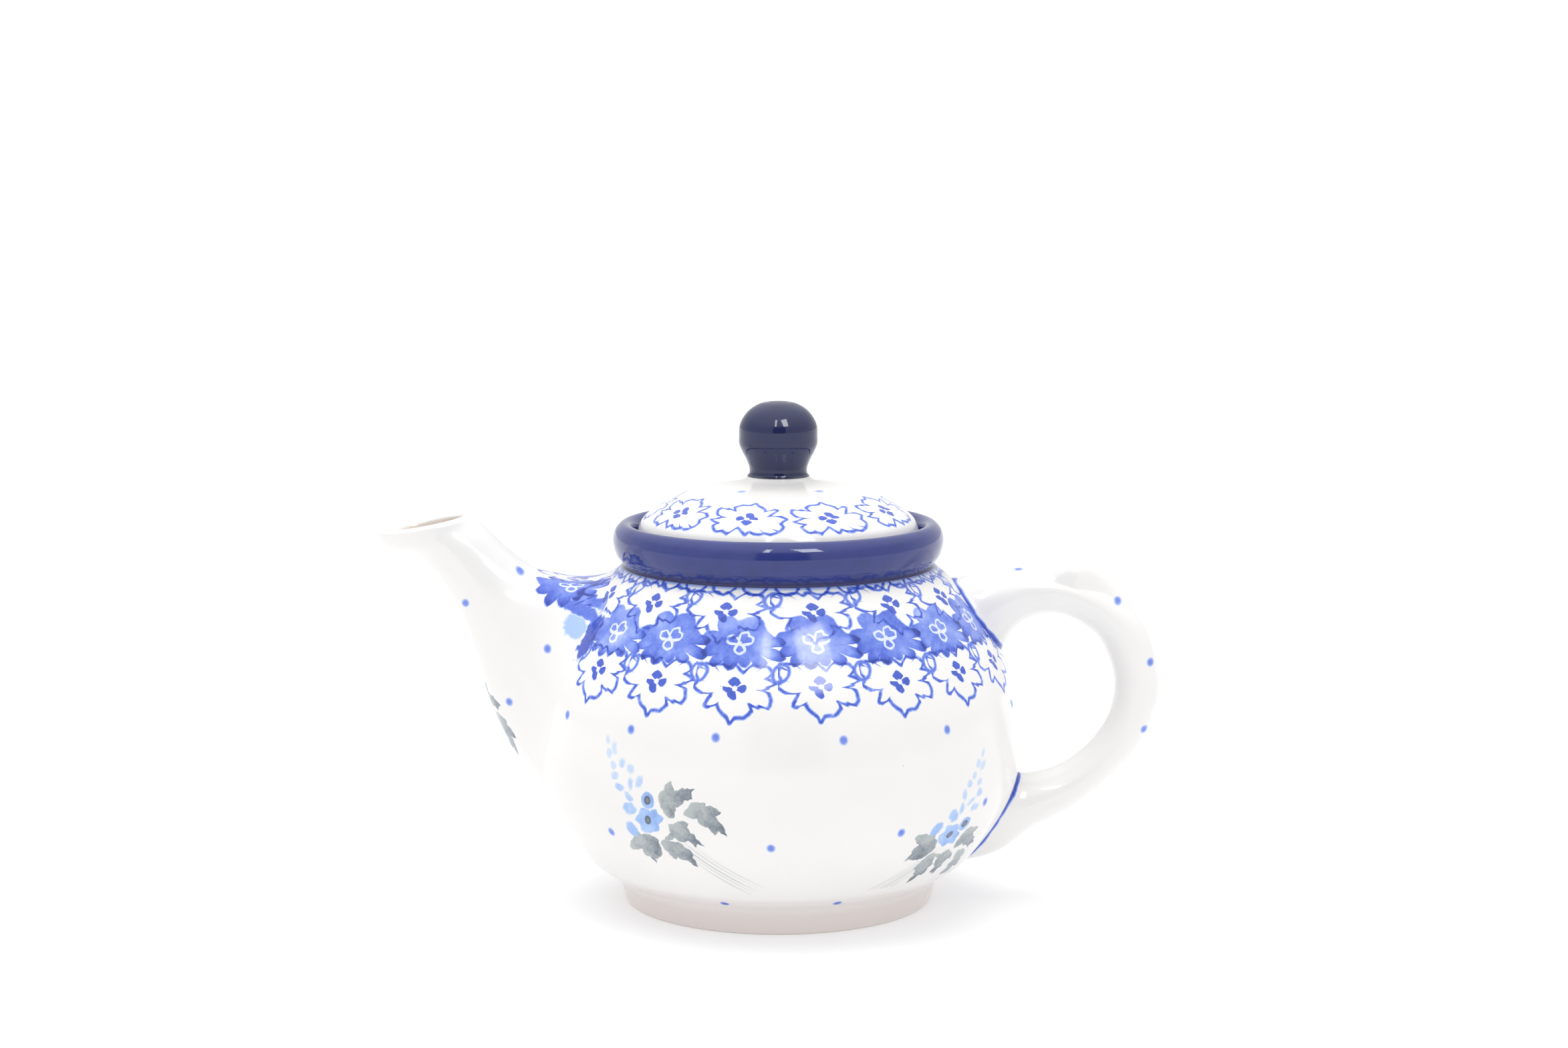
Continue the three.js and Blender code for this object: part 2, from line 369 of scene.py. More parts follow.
def make_globe():
    wall = [(r - WALL, z) for r, z in GLOBE if z > WALL_START][::-1]
    outline = rounded([
        (0, FLOOR_UNDERSIDE), (38.5, FLOOR_UNDERSIDE, 0.9), (39.0, FOOT_TOP, 0.4),
        *GLOBE,
        *wall,
        *smooth([(57.0, 18.0), (50.0, 13.4), (40.0, FLOOR_TOP)], 6),
        (0, FLOOR_TOP),
    ])
    obj = turn("globe", outline, 256)
    drill(obj, strainer_holes())
    add_attribute(obj, "arc", globe_arc(places(obj)[:, 2]))
    return obj


def make_foot():
    outline = rounded([
        (FOOT_INNER_RADIUS, 0, 0.5), (45.9, 0, 0.7), (46.4, 1.2, 0.6), (47.3, FOOT_TOP),
        (39.1, FOOT_TOP),
    ], closed=True)
    return turn("foot", outline, 192)


def make_rim():
    roll = smooth([
        (NECK_RADIUS, 102.5), (47.7, 103.7), (48.7, 105.6), (RIM_RADIUS, 109.0), (48.8, 112.0),
        (47.2, 113.85), (45.6, RIM_CREST), (44.0, 113.7), (43.0, 112.0), (42.75, 110.3),
    ], 6)
    outline = rounded([
        (42.4, 101.2), (46.4, 101.2), (46.5, 101.9, 0.3),
        *roll,
        (42.7, LEDGE_TOP, 0.6), (LEDGE_RADIUS, LEDGE_TOP, 0.8), (LEDGE_RADIUS, LEDGE_UNDERSIDE, 0.8),
    ], closed=True)
    return turn("rim", outline, 256)


SPOUT_LOWER = [
    (-55, 24), (-66, 26.2), (-74.6, 34.2), (-81.2, 46.8), (-87.2, 62), (-91.4, 75), (-95.3, 86),
    (-100.7, 94.9), (-108.8, 102.8), (-117.4, 106.0), (SPOUT_TIP + 0.8, 109.6),
]
SPOUT_UPPER = [
    (-30, 68), (-36, 80), (-43, 91), (-51, 97.4), (-60, 96.8), (-68, 98.3), (-75, 101.1), (-81, 106),
    (-86, 111), (-89.4, 114.2), (-91.2, 115.5),
]
SPOUT_WIDTHS = [26, 25.5, 24.5, 22.5, 19, 16, 13.5, 12, 11.4, 11.6, 11.9]
SPOUT_SHOULDERS = [0, 0, 0.15, 0.4, 0.5, 0.5, 0.4, 0.3, 0.15, 0, 0]
SPOUT_WALL = 4.0
LIP = 2.6
BEAK = 4.6


def make_spout():
    around = 160
    angle = np.arange(around) / around * 2 * np.pi
    bar = Bar(SPOUT_UPPER, SPOUT_LOWER, SPOUT_WIDTHS, SPOUT_SHOULDERS)
    # The soft joint is tight on the spout's ridge and wide below it.
    top = (1 + np.cos(angle)) / 2
    over_globe = 10 - 6 * top**3 + 3 * (1 - top) ** 3
    over_bar = 12 - 3 * top**3 + 1 * (1 - top) ** 3
    rings, start = bar.root(angle, over_globe, over_bar, 0.12, 1, 20)
    for share in np.linspace(0, 1, 70)[1:]:
        rings.append(bar.point(start + (1 - start) * share, angle))
    lip = LIP + (BEAK - LIP) * (1 - top) ** 2
    for turn_angle in np.linspace(0, np.pi, 13)[1:-1]:
        reach = lip / 2 * (1 - np.cos(turn_angle))
        rise = lip / 2 * np.sin(turn_angle)
        ring = bar.point(np.ones(around), angle, inset=reach)
        rings.append(ring + bar.direction() * rise[:, None])
    outer = len(rings)
    # The bore ends just inside the globe's skin.
    end = bar.where(angle, -np.full(around, SPOUT_WALL), -1.5, 0.05, 1)
    for share in np.linspace(1, 0, 60):
        t = end + (1 - end) * share
        rings.append(bar.point(t, angle, inset=SPOUT_WALL + (lip - SPOUT_WALL) * t))
    vertices = np.array(rings)
    obj = add_object("spout_tube", vertices.reshape(-1, 3), grid_faces(len(rings), around, True))
    add_attribute(obj, "arc", globe_arc(vertices[..., 2]))
    add_attribute(obj, "off_globe", off_globe(vertices))
    inner = np.repeat(np.arange(len(rings)) >= outer, around)
    add_attribute(obj, "inner", inner)
    return obj


HANDLE_INNER = [
    (57, 69.5), (66.2, 75.8), (70.8, 82.0), (76.4, 85.7), (83.8, 86.4), (91.3, 83.2), (97.4, 77.2),
    (101, 66), (99, 55), (93, 46.2), (84.5, 40), (75, 37.4), (68.5, 38), (58, 42),
]
HANDLE_OUTER = [
    (43, 92), (54.5, 97.2), (65, 99.8), (76, 100.7), (88, 98.8), (99.5, 93.6), (109.6, 83),
    (HANDLE_BACK, 68), (113, 55.6), (106, 42.2), (92, 29.4), (77, 21.4), (66, 13.8), (50, 9.5),
]
HANDLE_WIDTHS = [12.5, 11.5, 10.5, 9.6, 9, 8.8, 8.8, 8.8, 8.8, 8.8, 9, 10, 12, 14]
HANDLE_BAR = Bar(HANDLE_OUTER, HANDLE_INNER, HANDLE_WIDTHS)


def make_handle():
    around = 72
    angle = np.arange(around) / around * 2 * np.pi
    size = np.full(around, 4.0)
    upper, start = HANDLE_BAR.root(angle, size * 0.35, size, 0.02, 0.4, 9)
    lower, end = HANDLE_BAR.root(angle, size * 0.35, size, 0.98, 0.6, 9)
    rings = upper
    for share in np.linspace(0, 1, 150)[1:-1]:
        rings.append(HANDLE_BAR.point(start + (end - start) * share, angle))
    rings += lower[::-1]
    vertices = np.array(rings)
    faces = grid_faces(len(rings), around, False)
    last = (len(rings) - 1) * around
    faces.append(tuple(range(around))[::-1])
    faces.append(tuple(last + j for j in range(around)))
    obj = add_object("handle_ear", vertices.reshape(-1, 3), faces)
    add_attribute(obj, "off_globe", off_globe(vertices))
    return obj


# The thumb rest's stretch of the handle, its height, half its sweep round a section in radians, how deep it
# reaches into the handle, and the share of its height along that stretch.
NUB_STRETCH = (0.25, 0.46)
NUB_HEIGHT = 5.5
NUB_SWEEP = 1.15
NUB_DEPTH = 1.5
NUB_RISE = [
    (0, 0), (0.06, 0.25), (0.16, 0.78), (0.28, 1.0), (0.38, 0.97), (0.48, 0.74), (0.62, 0.42),
    (0.8, 0.16), (1, 0),
]


def make_thumb_rest():
    """A pinched nub on the handle's top that runs out into a rib down its back."""
    rows, columns = 72, 41
    t = np.linspace(*NUB_STRETCH, rows)[:, None]
    side = np.linspace(-1, 1, columns)[None, :]
    along = (t - t[0]) / (t[-1] - t[0])
    height = NUB_HEIGHT * np.interp(along, *np.array(smooth(NUB_RISE, 8)).T)
    spread = np.interp(along, [0, 0.3, 0.6, 1], [0.9, 0.95, 0.62, 0.4])
    angle = side * NUB_SWEEP
    crest = np.exp(-((angle / spread) ** 4) * 1.2) * (1 - side**2) ** 0.5
    top = height * crest - 0.25
    outer = HANDLE_BAR.point(t, angle) + HANDLE_BAR.normal(t, angle) * top[..., None]
    inner = HANDLE_BAR.point(t, angle) - HANDLE_BAR.normal(t, angle) * NUB_DEPTH
    rings = np.concatenate([outer, inner[:, ::-1]], axis=1)
    count = rings.shape[1]
    faces = grid_faces(rows, count, False)
    last = (rows - 1) * count
    for j in range(columns - 1):
        k = count - 1 - j
        faces.append((j + 1, j, k, k - 1))
        faces.append((last + j, last + j + 1, last + k - 1, last + k))
    obj = add_object("thumb_nub", rings.reshape(-1, 3), faces)
    add_attribute(obj, "off_globe", off_globe(rings))
    return obj


# ---- The cover ----

STEAM_HOLE_PLACE = 25.0
STEAM_HOLE_RADIUS = 1.8


def make_lid():
    dome = smooth([
        (LID_RADIUS, 110.8), (41.7, 112.6), (40.7, 114.9), (38.6, 116.9), (34.6, 119.5), (28.2, 122.7),
        (20, 125), (13.5, 126.1), (10.6, 126.8), (9.2, KNOB_SEAM),
    ], 8)
    underside = smooth([
        (FLANGE_RADIUS - 0.5, 110.2), (31.5, 114.4), (24, 118.2), (14, 120.6), (3, LID_UNDERSIDE),
    ], 6)
    outline = rounded([
        (0, LID_UNDERSIDE),
        *underside[::-1],
        (FLANGE_RADIUS, LID_SEAT, 0.5), (41.2, LID_SEAT, 0.9),
        *dome,
        (0, KNOB_SEAM),
    ])
    obj = turn("lid_dome", outline, 256)
    drill(obj, [((0, STEAM_HOLE_PLACE, 112), (0, STEAM_HOLE_PLACE, 130), STEAM_HOLE_RADIUS)])
    return obj


def make_flange():
    inner = FLANGE_RADIUS - FLANGE_WALL
    outline = rounded([
        (inner, FLANGE_BOTTOM, 1.2), (FLANGE_RADIUS, FLANGE_BOTTOM, 1.2), (FLANGE_RADIUS, 110.4),
        (inner, 113.4),
    ], closed=True)
    return turn("lid_ring", outline, 192)


def make_knob():
    ball = smooth([
        (9.3, KNOB_SEAM + 0.2), (8.7, KNOB_SEAM + 1.0), (8.7, 130.6), (9.6, 133.0), (10.8, 135.3),
        (11.7, 137.6), (KNOB_RADIUS + 0.25, 140.0), (11.6, 142.9), (10.3, 145.7), (8.2, 148.0),
        (5.3, 149.6), (2.4, 150.2),
    ], 6)
    outline = [(0, KNOB_SEAM), (9.1, KNOB_SEAM), *ball, (0, KNOB_TOP)]
    return turn("knob", outline, 128)


# ---- Fields: numbers at every point of a surface, worked out by shader nodes ----


class Field:
    """The output of a shader node. Fields add, subtract, multiply and divide as numbers do."""

    def __init__(self, socket):
        self.socket = socket

    def do(self, operation, *others, clamp=False):
        node = add_node(self, "ShaderNodeMath")
        node.operation = operation
        node.use_clamp = clamp
        for slot, value in zip(node.inputs, (self, *others)):
            feed(slot, value)
        return Field(node.outputs[0])

    def __add__(self, other):
        return self.do("ADD", other)

    def __sub__(self, other):
        return self.do("SUBTRACT", other)

    def __mul__(self, other):
        return self.do("MULTIPLY", other)

    def __truediv__(self, other):
        return self.do("DIVIDE", other)

    def __abs__(self):
        return self.do("ABSOLUTE")


def add_node(field, kind):
    return field.socket.id_data.nodes.new(kind)


def feed(slot, value):
    if isinstance(value, Field):
        value.socket.id_data.links.new(value.socket, slot)
    else:
        slot.default_value = value


def vector(*parts):
    first = next(part for part in parts if isinstance(part, Field))
    node = add_node(first, "ShaderNodeCombineXYZ")
    for slot, value in zip(node.inputs, parts):
        feed(slot, value)
    return Field(node.outputs[0])


def length(*parts):
    joined = vector(*parts)
    node = add_node(joined, "ShaderNodeVectorMath")
    node.operation = "LENGTH"
    feed(node.inputs[0], joined)
    return Field(node.outputs["Value"])


def inside(depth, soft):
    """1 where the depth is above zero and 0 where it is below, over a soft edge."""
    return depth.do("MULTIPLY_ADD", 1 / soft, 0.5, clamp=True)


def keep(mask):
    """What the mask leaves: one less the mask."""
    return mask.do("MULTIPLY_ADD", -1, 1)


def either(first, second):
    return first.do("MAXIMUM", second)


def through(field, points, top):
    """A field in straight lines through points of (value from 0 to 1, result from 0 to top)."""
    node = add_node(field, "ShaderNodeFloatCurve")
    line = node.mapping.curves[0]
    for _ in range(len(points) - 2):
        line.points.new(0.5, 0.5)
    for i, (value, result) in enumerate(points):
        line.points[i].location = (value, result / top)
        line.points[i].handle_type = "VECTOR"
    node.mapping.update()
    feed(node.inputs["Value"], field)
    return Field(node.outputs[0]) * top


# ---- Shapes round a centre ----


def by_angle(points):
    """Points of (u, v) round a centre, as points of (share of a turn, radius) that close on themselves."""
    polar = sorted(((math.atan2(v, u) / (2 * math.pi)) % 1, math.hypot(u, v)) for u, v in points)
    (first, near), (last, far) = polar[0], polar[-1]
    gap = first + 1 - last
    seam = far + (near - far) * (1 - last) / gap
    return [(0, seam), *polar, (1, seam)]


def by_degrees(points):
    return by_angle([(r * math.cos(math.radians(a)), r * math.sin(math.radians(a))) for a, r in points])


STEEPEST = 2.8


def steepness(polar):
    """How much longer each stretch of an outline is than its turn about the centre, at its middle."""
    result = []
    for (a, ra), (b, rb) in zip(polar, polar[1:]):
        across = 2 * math.pi * (b - a) * (ra + rb) / 2
        ratio = math.hypot(1, (rb - ra) / max(across, 1e-4))
        result.append(((a + b) / 2, min(ratio, STEEPEST)))
    return [(0, result[0][1]), *result, (1, result[-1][1])]


class Spot:
    """A place on a surface seen from a centre: its share of a turn about it and its distance from it."""

    def __init__(self, u, v):
        angle = v.do("ARCTAN2", u) / (2 * math.pi)
        self.turn = angle.do("FRACT")
        self.radius = length(u, v)

    def depth(self, polar):
        """How far the place is within an outline, along the line from the centre."""
        top = max(radius for _, radius in polar)
        return through(self.turn, polar, top) - self.radius

    def line(self, polar, width, soft):
        """1 on a line along the outline."""
        thickness = through(self.turn, steepness(polar), 4) * (width / 2)
        return inside(thickness - abs(self.depth(polar)), soft)


def turned(u, v, degrees):
    """The same place in axes that lean anticlockwise by that many degrees."""
    c, s = math.cos(math.radians(degrees)), math.sin(math.radians(degrees))
    return u * c + v * s, v * c - u * s


def blob(u, v, centre, radii, lean=0.0):
    """Depth within an oval, in millimetres at its middle; it leans anticlockwise by that many degrees."""
    du, dv = u - centre[0], v - centre[1]
    if lean:
        du, dv = turned(du, dv, lean)
    small = min(radii)
    return length(du / radii[0], dv / radii[1]).do("MULTIPLY_ADD", -small, small)


def stroke(u, v, start, end, width):
    """Depth within a brush stroke from start to end, widest in its middle."""
    run = (end[0] - start[0], end[1] - start[1])
    reach = math.hypot(*run) / 2
    lean = math.degrees(math.atan2(run[1], run[0]))
    centre = ((start[0] + end[0]) / 2, (start[1] + end[1]) / 2)
    return blob(u, v, centre, (reach, width / 2), lean)


# ---- Glazes ----


class Glaze:
    """One material: where each place is on the pot, and the colours laid over each other there."""

    def __init__(self, name, colour, rough):
        self.material = bpy.data.materials.new(name)
        self.material.use_nodes = True
        self.tree = self.material.node_tree
        self.shader = self.tree.nodes["Principled BSDF"]
        self.position = Field(self.tree.nodes.new("ShaderNodeTexCoord").outputs["Object"])
        split = self.tree.nodes.new("ShaderNodeSeparateXYZ")
        feed(split.inputs[0], self.position)
        self.x = Field(split.outputs["X"]).do("MULTIPLY_ADD", 1 / MM, -AXIS_X / MM)
        self.y = Field(split.outputs["Y"]) / MM
        self.z = Field(split.outputs["Z"]).do("MULTIPLY_ADD", 1 / MM, -TABLE_Z / MM)
        self.colour = colour
        low, high = rough
        feed(self.shader.inputs["Roughness"], self.noise(4).do("MULTIPLY_ADD", high - low, low))

    def attribute(self, name):
        node = self.tree.nodes.new("ShaderNodeAttribute")
        node.attribute_name = name
        return Field(node.outputs["Fac"])

    def noise(self, size, detail=2.0, output=0):
        """Noise from 0 to 1 whose grains are about that many millimetres across."""
        node = self.tree.nodes.new("ShaderNodeTexNoise")
        node.inputs["Scale"].default_value = 1 / (size * MM)
        node.inputs["Detail"].default_value = detail
        feed(node.inputs["Vector"], self.position)
        return Field(node.outputs[output])

    def wobble(self, u, v, size, amount):
        """The two coordinates, moved a little as a hand does."""
        split = self.tree.nodes.new("ShaderNodeSeparateColor")
        feed(split.inputs[0], self.noise(size, output=1))
        du = Field(split.outputs[0]).do("MULTIPLY_ADD", 2 * amount, -amount)
        dv = Field(split.outputs[1]).do("MULTIPLY_ADD", 2 * amount, -amount)
        return u + du, v + dv

    def lay(self, colour, cover):
        """Lays a colour, plain or a field, over what is there."""
        node = self.tree.nodes.new("ShaderNodeMix")
        node.data_type = "RGBA"
        feed(node.inputs["Factor"], cover)
        for slot, value in ((node.inputs[6], self.colour), (node.inputs[7], colour)):
            feed(slot, value if isinstance(value, Field) else (*value, 1))
        self.colour = Field(node.outputs[2])

    def ramp(self, amount, stops):
        """Colours along an amount: stops are (amount from 0 to 1, colour)."""
        node = self.tree.nodes.new("ShaderNodeValToRGB")
        line = node.color_ramp
        while len(line.elements) < len(stops):
            line.elements.new(0.5)
        for element, (place, colour) in zip(line.elements, stops):
            element.position = place
            element.color = (*colour, 1)
        feed(node.inputs[0], amount)
        return Field(node.outputs[0])

    def skin(self, height, depth):
        """Relief of the glaze: a height from 0 to 1 that stands that many millimetres."""
        node = self.tree.nodes.new("ShaderNodeBump")
        node.inputs["Strength"].default_value = 1.0
        node.inputs["Distance"].default_value = depth * MM
        feed(node.inputs["Height"], height)
        feed(self.shader.inputs["Normal"], Field(node.outputs[0]))

    def finish(self):
        feed(self.shader.inputs["Base Color"], self.colour)
        return self.material


# ---- The painted pattern ----

# Outlines in millimetres round a stamp's centre: u to the right, v up.
CLOVER = [
    (6.6, -0.4), (8.2, -0.2), (9.2, 0.6), (10.9, 1.2), (9.7, 2.3), (8.3, 2.9), (9.2, 3.7), (9.6, 4.6),
    (9.0, 5.7), (8.0, 6.5), (6.2, 6.4), (4.4, 7.0), (3.2, 5.9), (1.8, 4.7), (0.5, 6.0), (-0.8, 7.1),
    (-2.0, 6.1), (-3.4, 6.8), (-5.0, 7.0), (-6.6, 6.6), (-8.4, 6.9), (-10.2, 6.3), (-11.2, 5.0),
    (-11.3, 3.6), (-10.6, 2.4), (-10.8, 1.2), (-11.6, 0.2), (-11.0, -0.6), (-9.7, -1.5), (-8.3, -1.9),
    (-6.4, -1.7), (-7.1, -3.4), (-7.9, -5.4), (-6.2, -5.6), (-4.8, -4.7), (-4.0, -6.1), (-3.0, -7.2),
    (-1.7, -8.4), (-0.7, -10.0), (0.4, -8.6), (1.7, -8.3), (3.0, -8.3), (4.2, -7.4), (4.9, -6.2),
    (4.5, -4.6), (6.3, -5.3), (7.4, -5.1), (9.0, -5.6), (10.0, -4.4), (9.9, -2.6), (9.0, -1.2),
]
CLOVER_EDGE = by_angle(smooth(CLOVER + CLOVER[:1], 3)[:-1])
CLOVER_LINE = 0.86
# Strokes that run in from the clover's edge: direction, how far in they reach, and half their spread.
CLOVER_STROKES = [(42, 6.6, 3.0), (134, 4.6, 2.8), (150, 7.4, 2.2), (169, 7.4, 2.0)]
# Three blots round the centre, as (degrees, radius).
TREFOIL_EDGE = by_degrees([
    (-42, 0.3), (-38, 2.4), (-22, 3.1), (-2, 3.3), (18, 3.1), (26, 2.6), (31, 0.3), (40, 0.3),
    (44, 2.3), (66, 2.6), (96, 3.3), (124, 2.8), (140, 2.6), (146, 0.3), (166, 0.3), (171, 3.2),
    (186, 3.3), (214, 2.3), (240, 3.0), (268, 3.5), (285, 3.0), (292, 0.3),
])
BLOOM_EDGE = by_degrees([
    (-171, 8.3), (-164, 9.6), (-156, 9.3), (-150, 7.2), (-141, 8.9), (-132, 8.8), (-125, 6.2),
    (-116, 7.2), (-106, 7.5), (-96, 6.8), (-88, 5.2), (-80, 6.2), (-72, 6.8), (-62, 6.3), (-56, 5.8),
    (-52, 7.8), (-43, 9.0), (-35, 8.8), (-30, 7.6), (-26, 11.4), (-19, 12.1), (-12, 10.6), (-8, 7.6),
    (-4, 10.6), (2, 11.2), (8, 10.2), (14, 8.2), (22, 7.6), (30, 7.2), (41, 7.3), (53, 8.1), (66, 8.3),
    (78, 7.4), (90, 6.6), (100, 6.3), (110, 7.9), (121, 8.5), (134, 8.5), (143, 7.6), (150, 6.3),
    (155, 7.5), (162, 9.0), (170, 9.7), (179, 8.9),
])
# Pale creases between a bloom's petals, as the clover's strokes.
BLOOM_CREASES = [
    (-8, 6.2, 3.6), (-30, 5.0, 4.2), (-56, 4.4, 5.0), (-87, 5.0, 4.5), (-125, 5.2, 4.5),
    (-150, 5.8, 4.0), (19, 7.0, 3.0),
]
# Blots in a bloom's middle, and the pale halo round them.
BLOOM_BLOTS = by_degrees([
    (-118, 0.3), (-112, 2.1), (-86, 2.5), (-58, 2.3), (-52, 0.3), (2, 0.3), (8, 2.9), (26, 3.2),
    (44, 2.6), (60, 3.2), (84, 2.4), (88, 0.3), (122, 0.3), (128, 2.4), (150, 2.9), (172, 2.6),
    (178, 0.3),
])
BLOOM_HALO = by_degrees([
    (-150, 1.2), (-120, 2.6), (-86, 3.2), (-52, 2.8), (-26, 1.6), (0, 3.2), (26, 3.9), (44, 3.3),
    (62, 3.9), (90, 2.8), (104, 1.6), (122, 2.8), (150, 3.6), (180, 3.0),
])
# How strongly the colour pools towards the edge, by direction.
BLOOM_POOLS = by_degrees([
    (-178, 0.2), (-160, 0.7), (-148, 0.3), (-136, 1.0), (-124, 0.3), (-108, 1.0), (-88, 0.2),
    (-72, 0.7), (-57, 0.2), (-42, 0.8), (-30, 0.2), (-20, 1.0), (-9, 0.3), (1, 1.0), (13, 0.2),
    (90, 0.05),
])

WHITE = (0.857, 0.847, 0.832)

# Cobalt on the white, from none to the most that the brush leaves.
PIGMENT_STOPS = [
    (0.0, WHITE),
    (0.12, (0.55, 0.64, 0.85)),
    (0.28, (0.27, 0.36, 0.80)),
    (0.46, (0.135, 0.215, 0.70)),
    (0.62, (0.070, 0.130, 0.60)),
    (0.80, (0.034, 0.075, 0.46)),
    (1.0, (0.016, 0.038, 0.27)),
]
PIGMENT_FULL = 1.6
LINE_INK = 1.1
DOT_INK = 0.68
STAMP_REACH = 14.0


def strokes(spot, marks):
    """Depth within short strokes that point at the centre."""
    corners = []
    for degrees, start, spread in marks:
        corners += [(degrees - spread, STAMP_REACH), (degrees, start), (degrees + spread, STAMP_REACH)]
    return spot.radius - through(spot.turn, by_degrees(corners), STAMP_REACH)


def clover(glaze, u, v):
    """The outlined stamp: a jagged outline with short strokes inside it, and three blots in its middle."""
    spot = Spot(u, v)
    depth = spot.depth(CLOVER_EDGE)
    line = spot.line(CLOVER_EDGE, CLOVER_LINE, 0.7)
    inner = inside(strokes(spot, CLOVER_STROKES), 0.8) * inside(depth, 0.3)
    outline = either(line, inner)
    breaks = glaze.noise(2.0).do("MULTIPLY_ADD", 2.4, -0.25, clamp=True)
    blots = inside(spot.depth(TREFOIL_EDGE), 0.3) * inside(spot.radius - 0.8, 0.3)
    return outline * breaks * LINE_INK + blots * LINE_INK


def bloom(glaze, u, v, tone):
    """The solid stamp: a watery blue flower with pale lines, its petals fanned to the right."""
    spot = Spot(u, v)
    depth = spot.depth(BLOOM_EDGE)
    body = inside(depth, 0.5)
    pool = (depth * -0.34 + 1.0).do("MAXIMUM", 0.0) * through(spot.turn, BLOOM_POOLS, 1.0)
    blots = inside(spot.depth(BLOOM_BLOTS), 0.3) * inside(spot.radius - 0.7, 0.3)
    halo = inside(spot.depth(BLOOM_HALO), 0.3) * keep(blots)
    crease = inside(strokes(spot, BLOOM_CREASES), 0.8)
    pale = either(halo, crease) * 0.85
    wash = tone + pool * 0.8
    return body * wash * keep(pale)


def cell(angle, count, offset):
    """Angle from the middle of the nearest of count evenly spaced places, and which place it is."""
    pitch = 360 / count
    place = (angle - offset) / pitch + 0.5
    number = place.do("FLOOR")
    return (place - number - 0.5) * pitch, number


def stamp_chance(number, seed):
    """A number from 0 to 1 of a stamp's own."""
    node = add_node(number, "ShaderNodeTexWhiteNoise")
    node.noise_dimensions = "1D"
    feed(node.inputs["W"], number + seed)
    return Field(node.outputs["Value"])


def around_pot(glaze):
    """Angle round the pot's axis in degrees, and millimetres for each degree."""
    radius = length(glaze.x, glaze.y)
    angle = glaze.x.do("ARCTAN2", glaze.y * -1) * (180 / math.pi)
    return angle, radius * (math.pi / 180)


# The lower rows stop that many degrees from the spout's middle; above that length they run all round.
SPOUT_CLEAR = 29.0
CLEAR_BELOW = 98.5


def overlay(under, over):
    """Paint over paint: the stronger of the two, and a little more where they cross."""
    return either(under, over) + under * over * 0.35


# The upper and lower row of clovers: (count, first one's angle, length up the outline, seed).
CLOVER_ROWS = [(14, 10.4, 104.2, 3.0), (18, 10.0, 81.0, 7.0)]
SCALLOPS = 34
BLOOM_PAIRS = 9
BLOOM_OFFSET = 10.0
BLOOM_HEIGHT = 94.0


def band(glaze, angle, per_degree, arc):
    """The three rows of stamps round the shoulder, as an amount of pigment."""
    # The stamps stand a little closer together at the sides than in front and behind.
    even = angle - (angle * (math.pi / 90)).do("SINE") * 1.2
    u0, v0 = glaze.wobble(angle * 0, arc, 2.6, 0.35)

    amount = angle * 0
    for count, offset, height, seed in CLOVER_ROWS:
        across, number = cell(even, count, offset)
        shift = stamp_chance(number, seed).do("MULTIPLY_ADD", 1.2, -0.6)
        row = clover(glaze, across * per_degree + u0, v0 - height + shift)
        across, _ = cell(even, count, offset + 180 / count)
        loop = abs(blob(across * per_degree + u0, v0 - height + shift, (0.8, 4.2), (2.2, 2.7), -20))
        amount = overlay(amount, either(row, inside(loop * -1 + 0.42, 0.5) * 0.8))
    across, _ = cell(even, SCALLOPS, 3.0)
    scallop = abs(blob(across * per_degree + u0 * 2, v0, (0, 113.4), (3.2, 3.4)))
    amount = overlay(amount, inside(scallop * -1 + 0.4, 0.5) * 0.9)
    for offset in (BLOOM_OFFSET, BLOOM_OFFSET + 180 / BLOOM_PAIRS):
        across, number = cell(even, BLOOM_PAIRS, offset)
        chance = stamp_chance(number, offset)
        water = glaze.noise(7.0, 3).do("MULTIPLY_ADD", 1.3, -0.62)
        tone = chance * 0.3 + 0.46 + water
        shift = chance.do("MULTIPLY_ADD", -1.4, 0.7)
        u = (across * per_degree + u0) * 0.88
        row = bloom(glaze, u, (v0 - BLOOM_HEIGHT + shift) * 0.87, tone.do("MAXIMUM", 0.15))
        amount = overlay(amount, row)
    beside_spout = inside(abs(angle + 90) - SPOUT_CLEAR, 1.0)
    return amount * either(beside_spout, inside(arc - CLEAR_BELOW, 1.0))


def cobalt_wash(glaze, amount):
    """Lays cobalt paint of that density; it is darker where it is thicker."""
    brushed = glaze.noise(0.9, 3).do("MULTIPLY_ADD", 0.5, 0.78)
    density = amount * brushed / PIGMENT_FULL
    return glaze.ramp(density, PIGMENT_STOPS), inside(amount - 0.04, 0.08)


# Dots of the brush's tip on the globe: (degrees, length up the outline), the same in front and behind.
GLOBE_DOTS = [
    (-58.3, 66.4), (-35.4, 66.4), (-14.0, 66.4), (14.8, 65.6), (42.0, 65.3), (74.1, 66.2),
    (-43.0, 34.6), (-1.6, 34.3), (29.5, 37.0), (56.4, 41.1),
]
DOT_RADIUS = 1.05
# Millimetres for each degree at the belly, and where the globe narrows to its foot.
BELLY_DEGREE = 1.25
LOWER_DEGREE = 0.86


def front_or_back(angle):
    """The angle from the front, or from the back where that is nearer."""
    return angle.do("WRAP", -90.0, 90.0)


def dots(u, v, spots, shape=(DOT_RADIUS, DOT_RADIUS * 1.1)):
    """Pigment of dots at (u, v), some with a lean in degrees."""
    amount = None
    for spot in spots:
        lean = spot[2] if len(spot) > 2 else 0
        dot = inside(blob(u, v, spot[:2], shape, lean), 0.9)
        amount = dot if amount is None else either(amount, dot)
    return amount * DOT_INK


def globe_dots(angle, arc):
    spots = [(degrees * BELLY_DEGREE, height) for degrees, height in GLOBE_DOTS]
    return dots(front_or_back(angle) * BELLY_DEGREE, arc, spots)


# ---- The flower spray ----

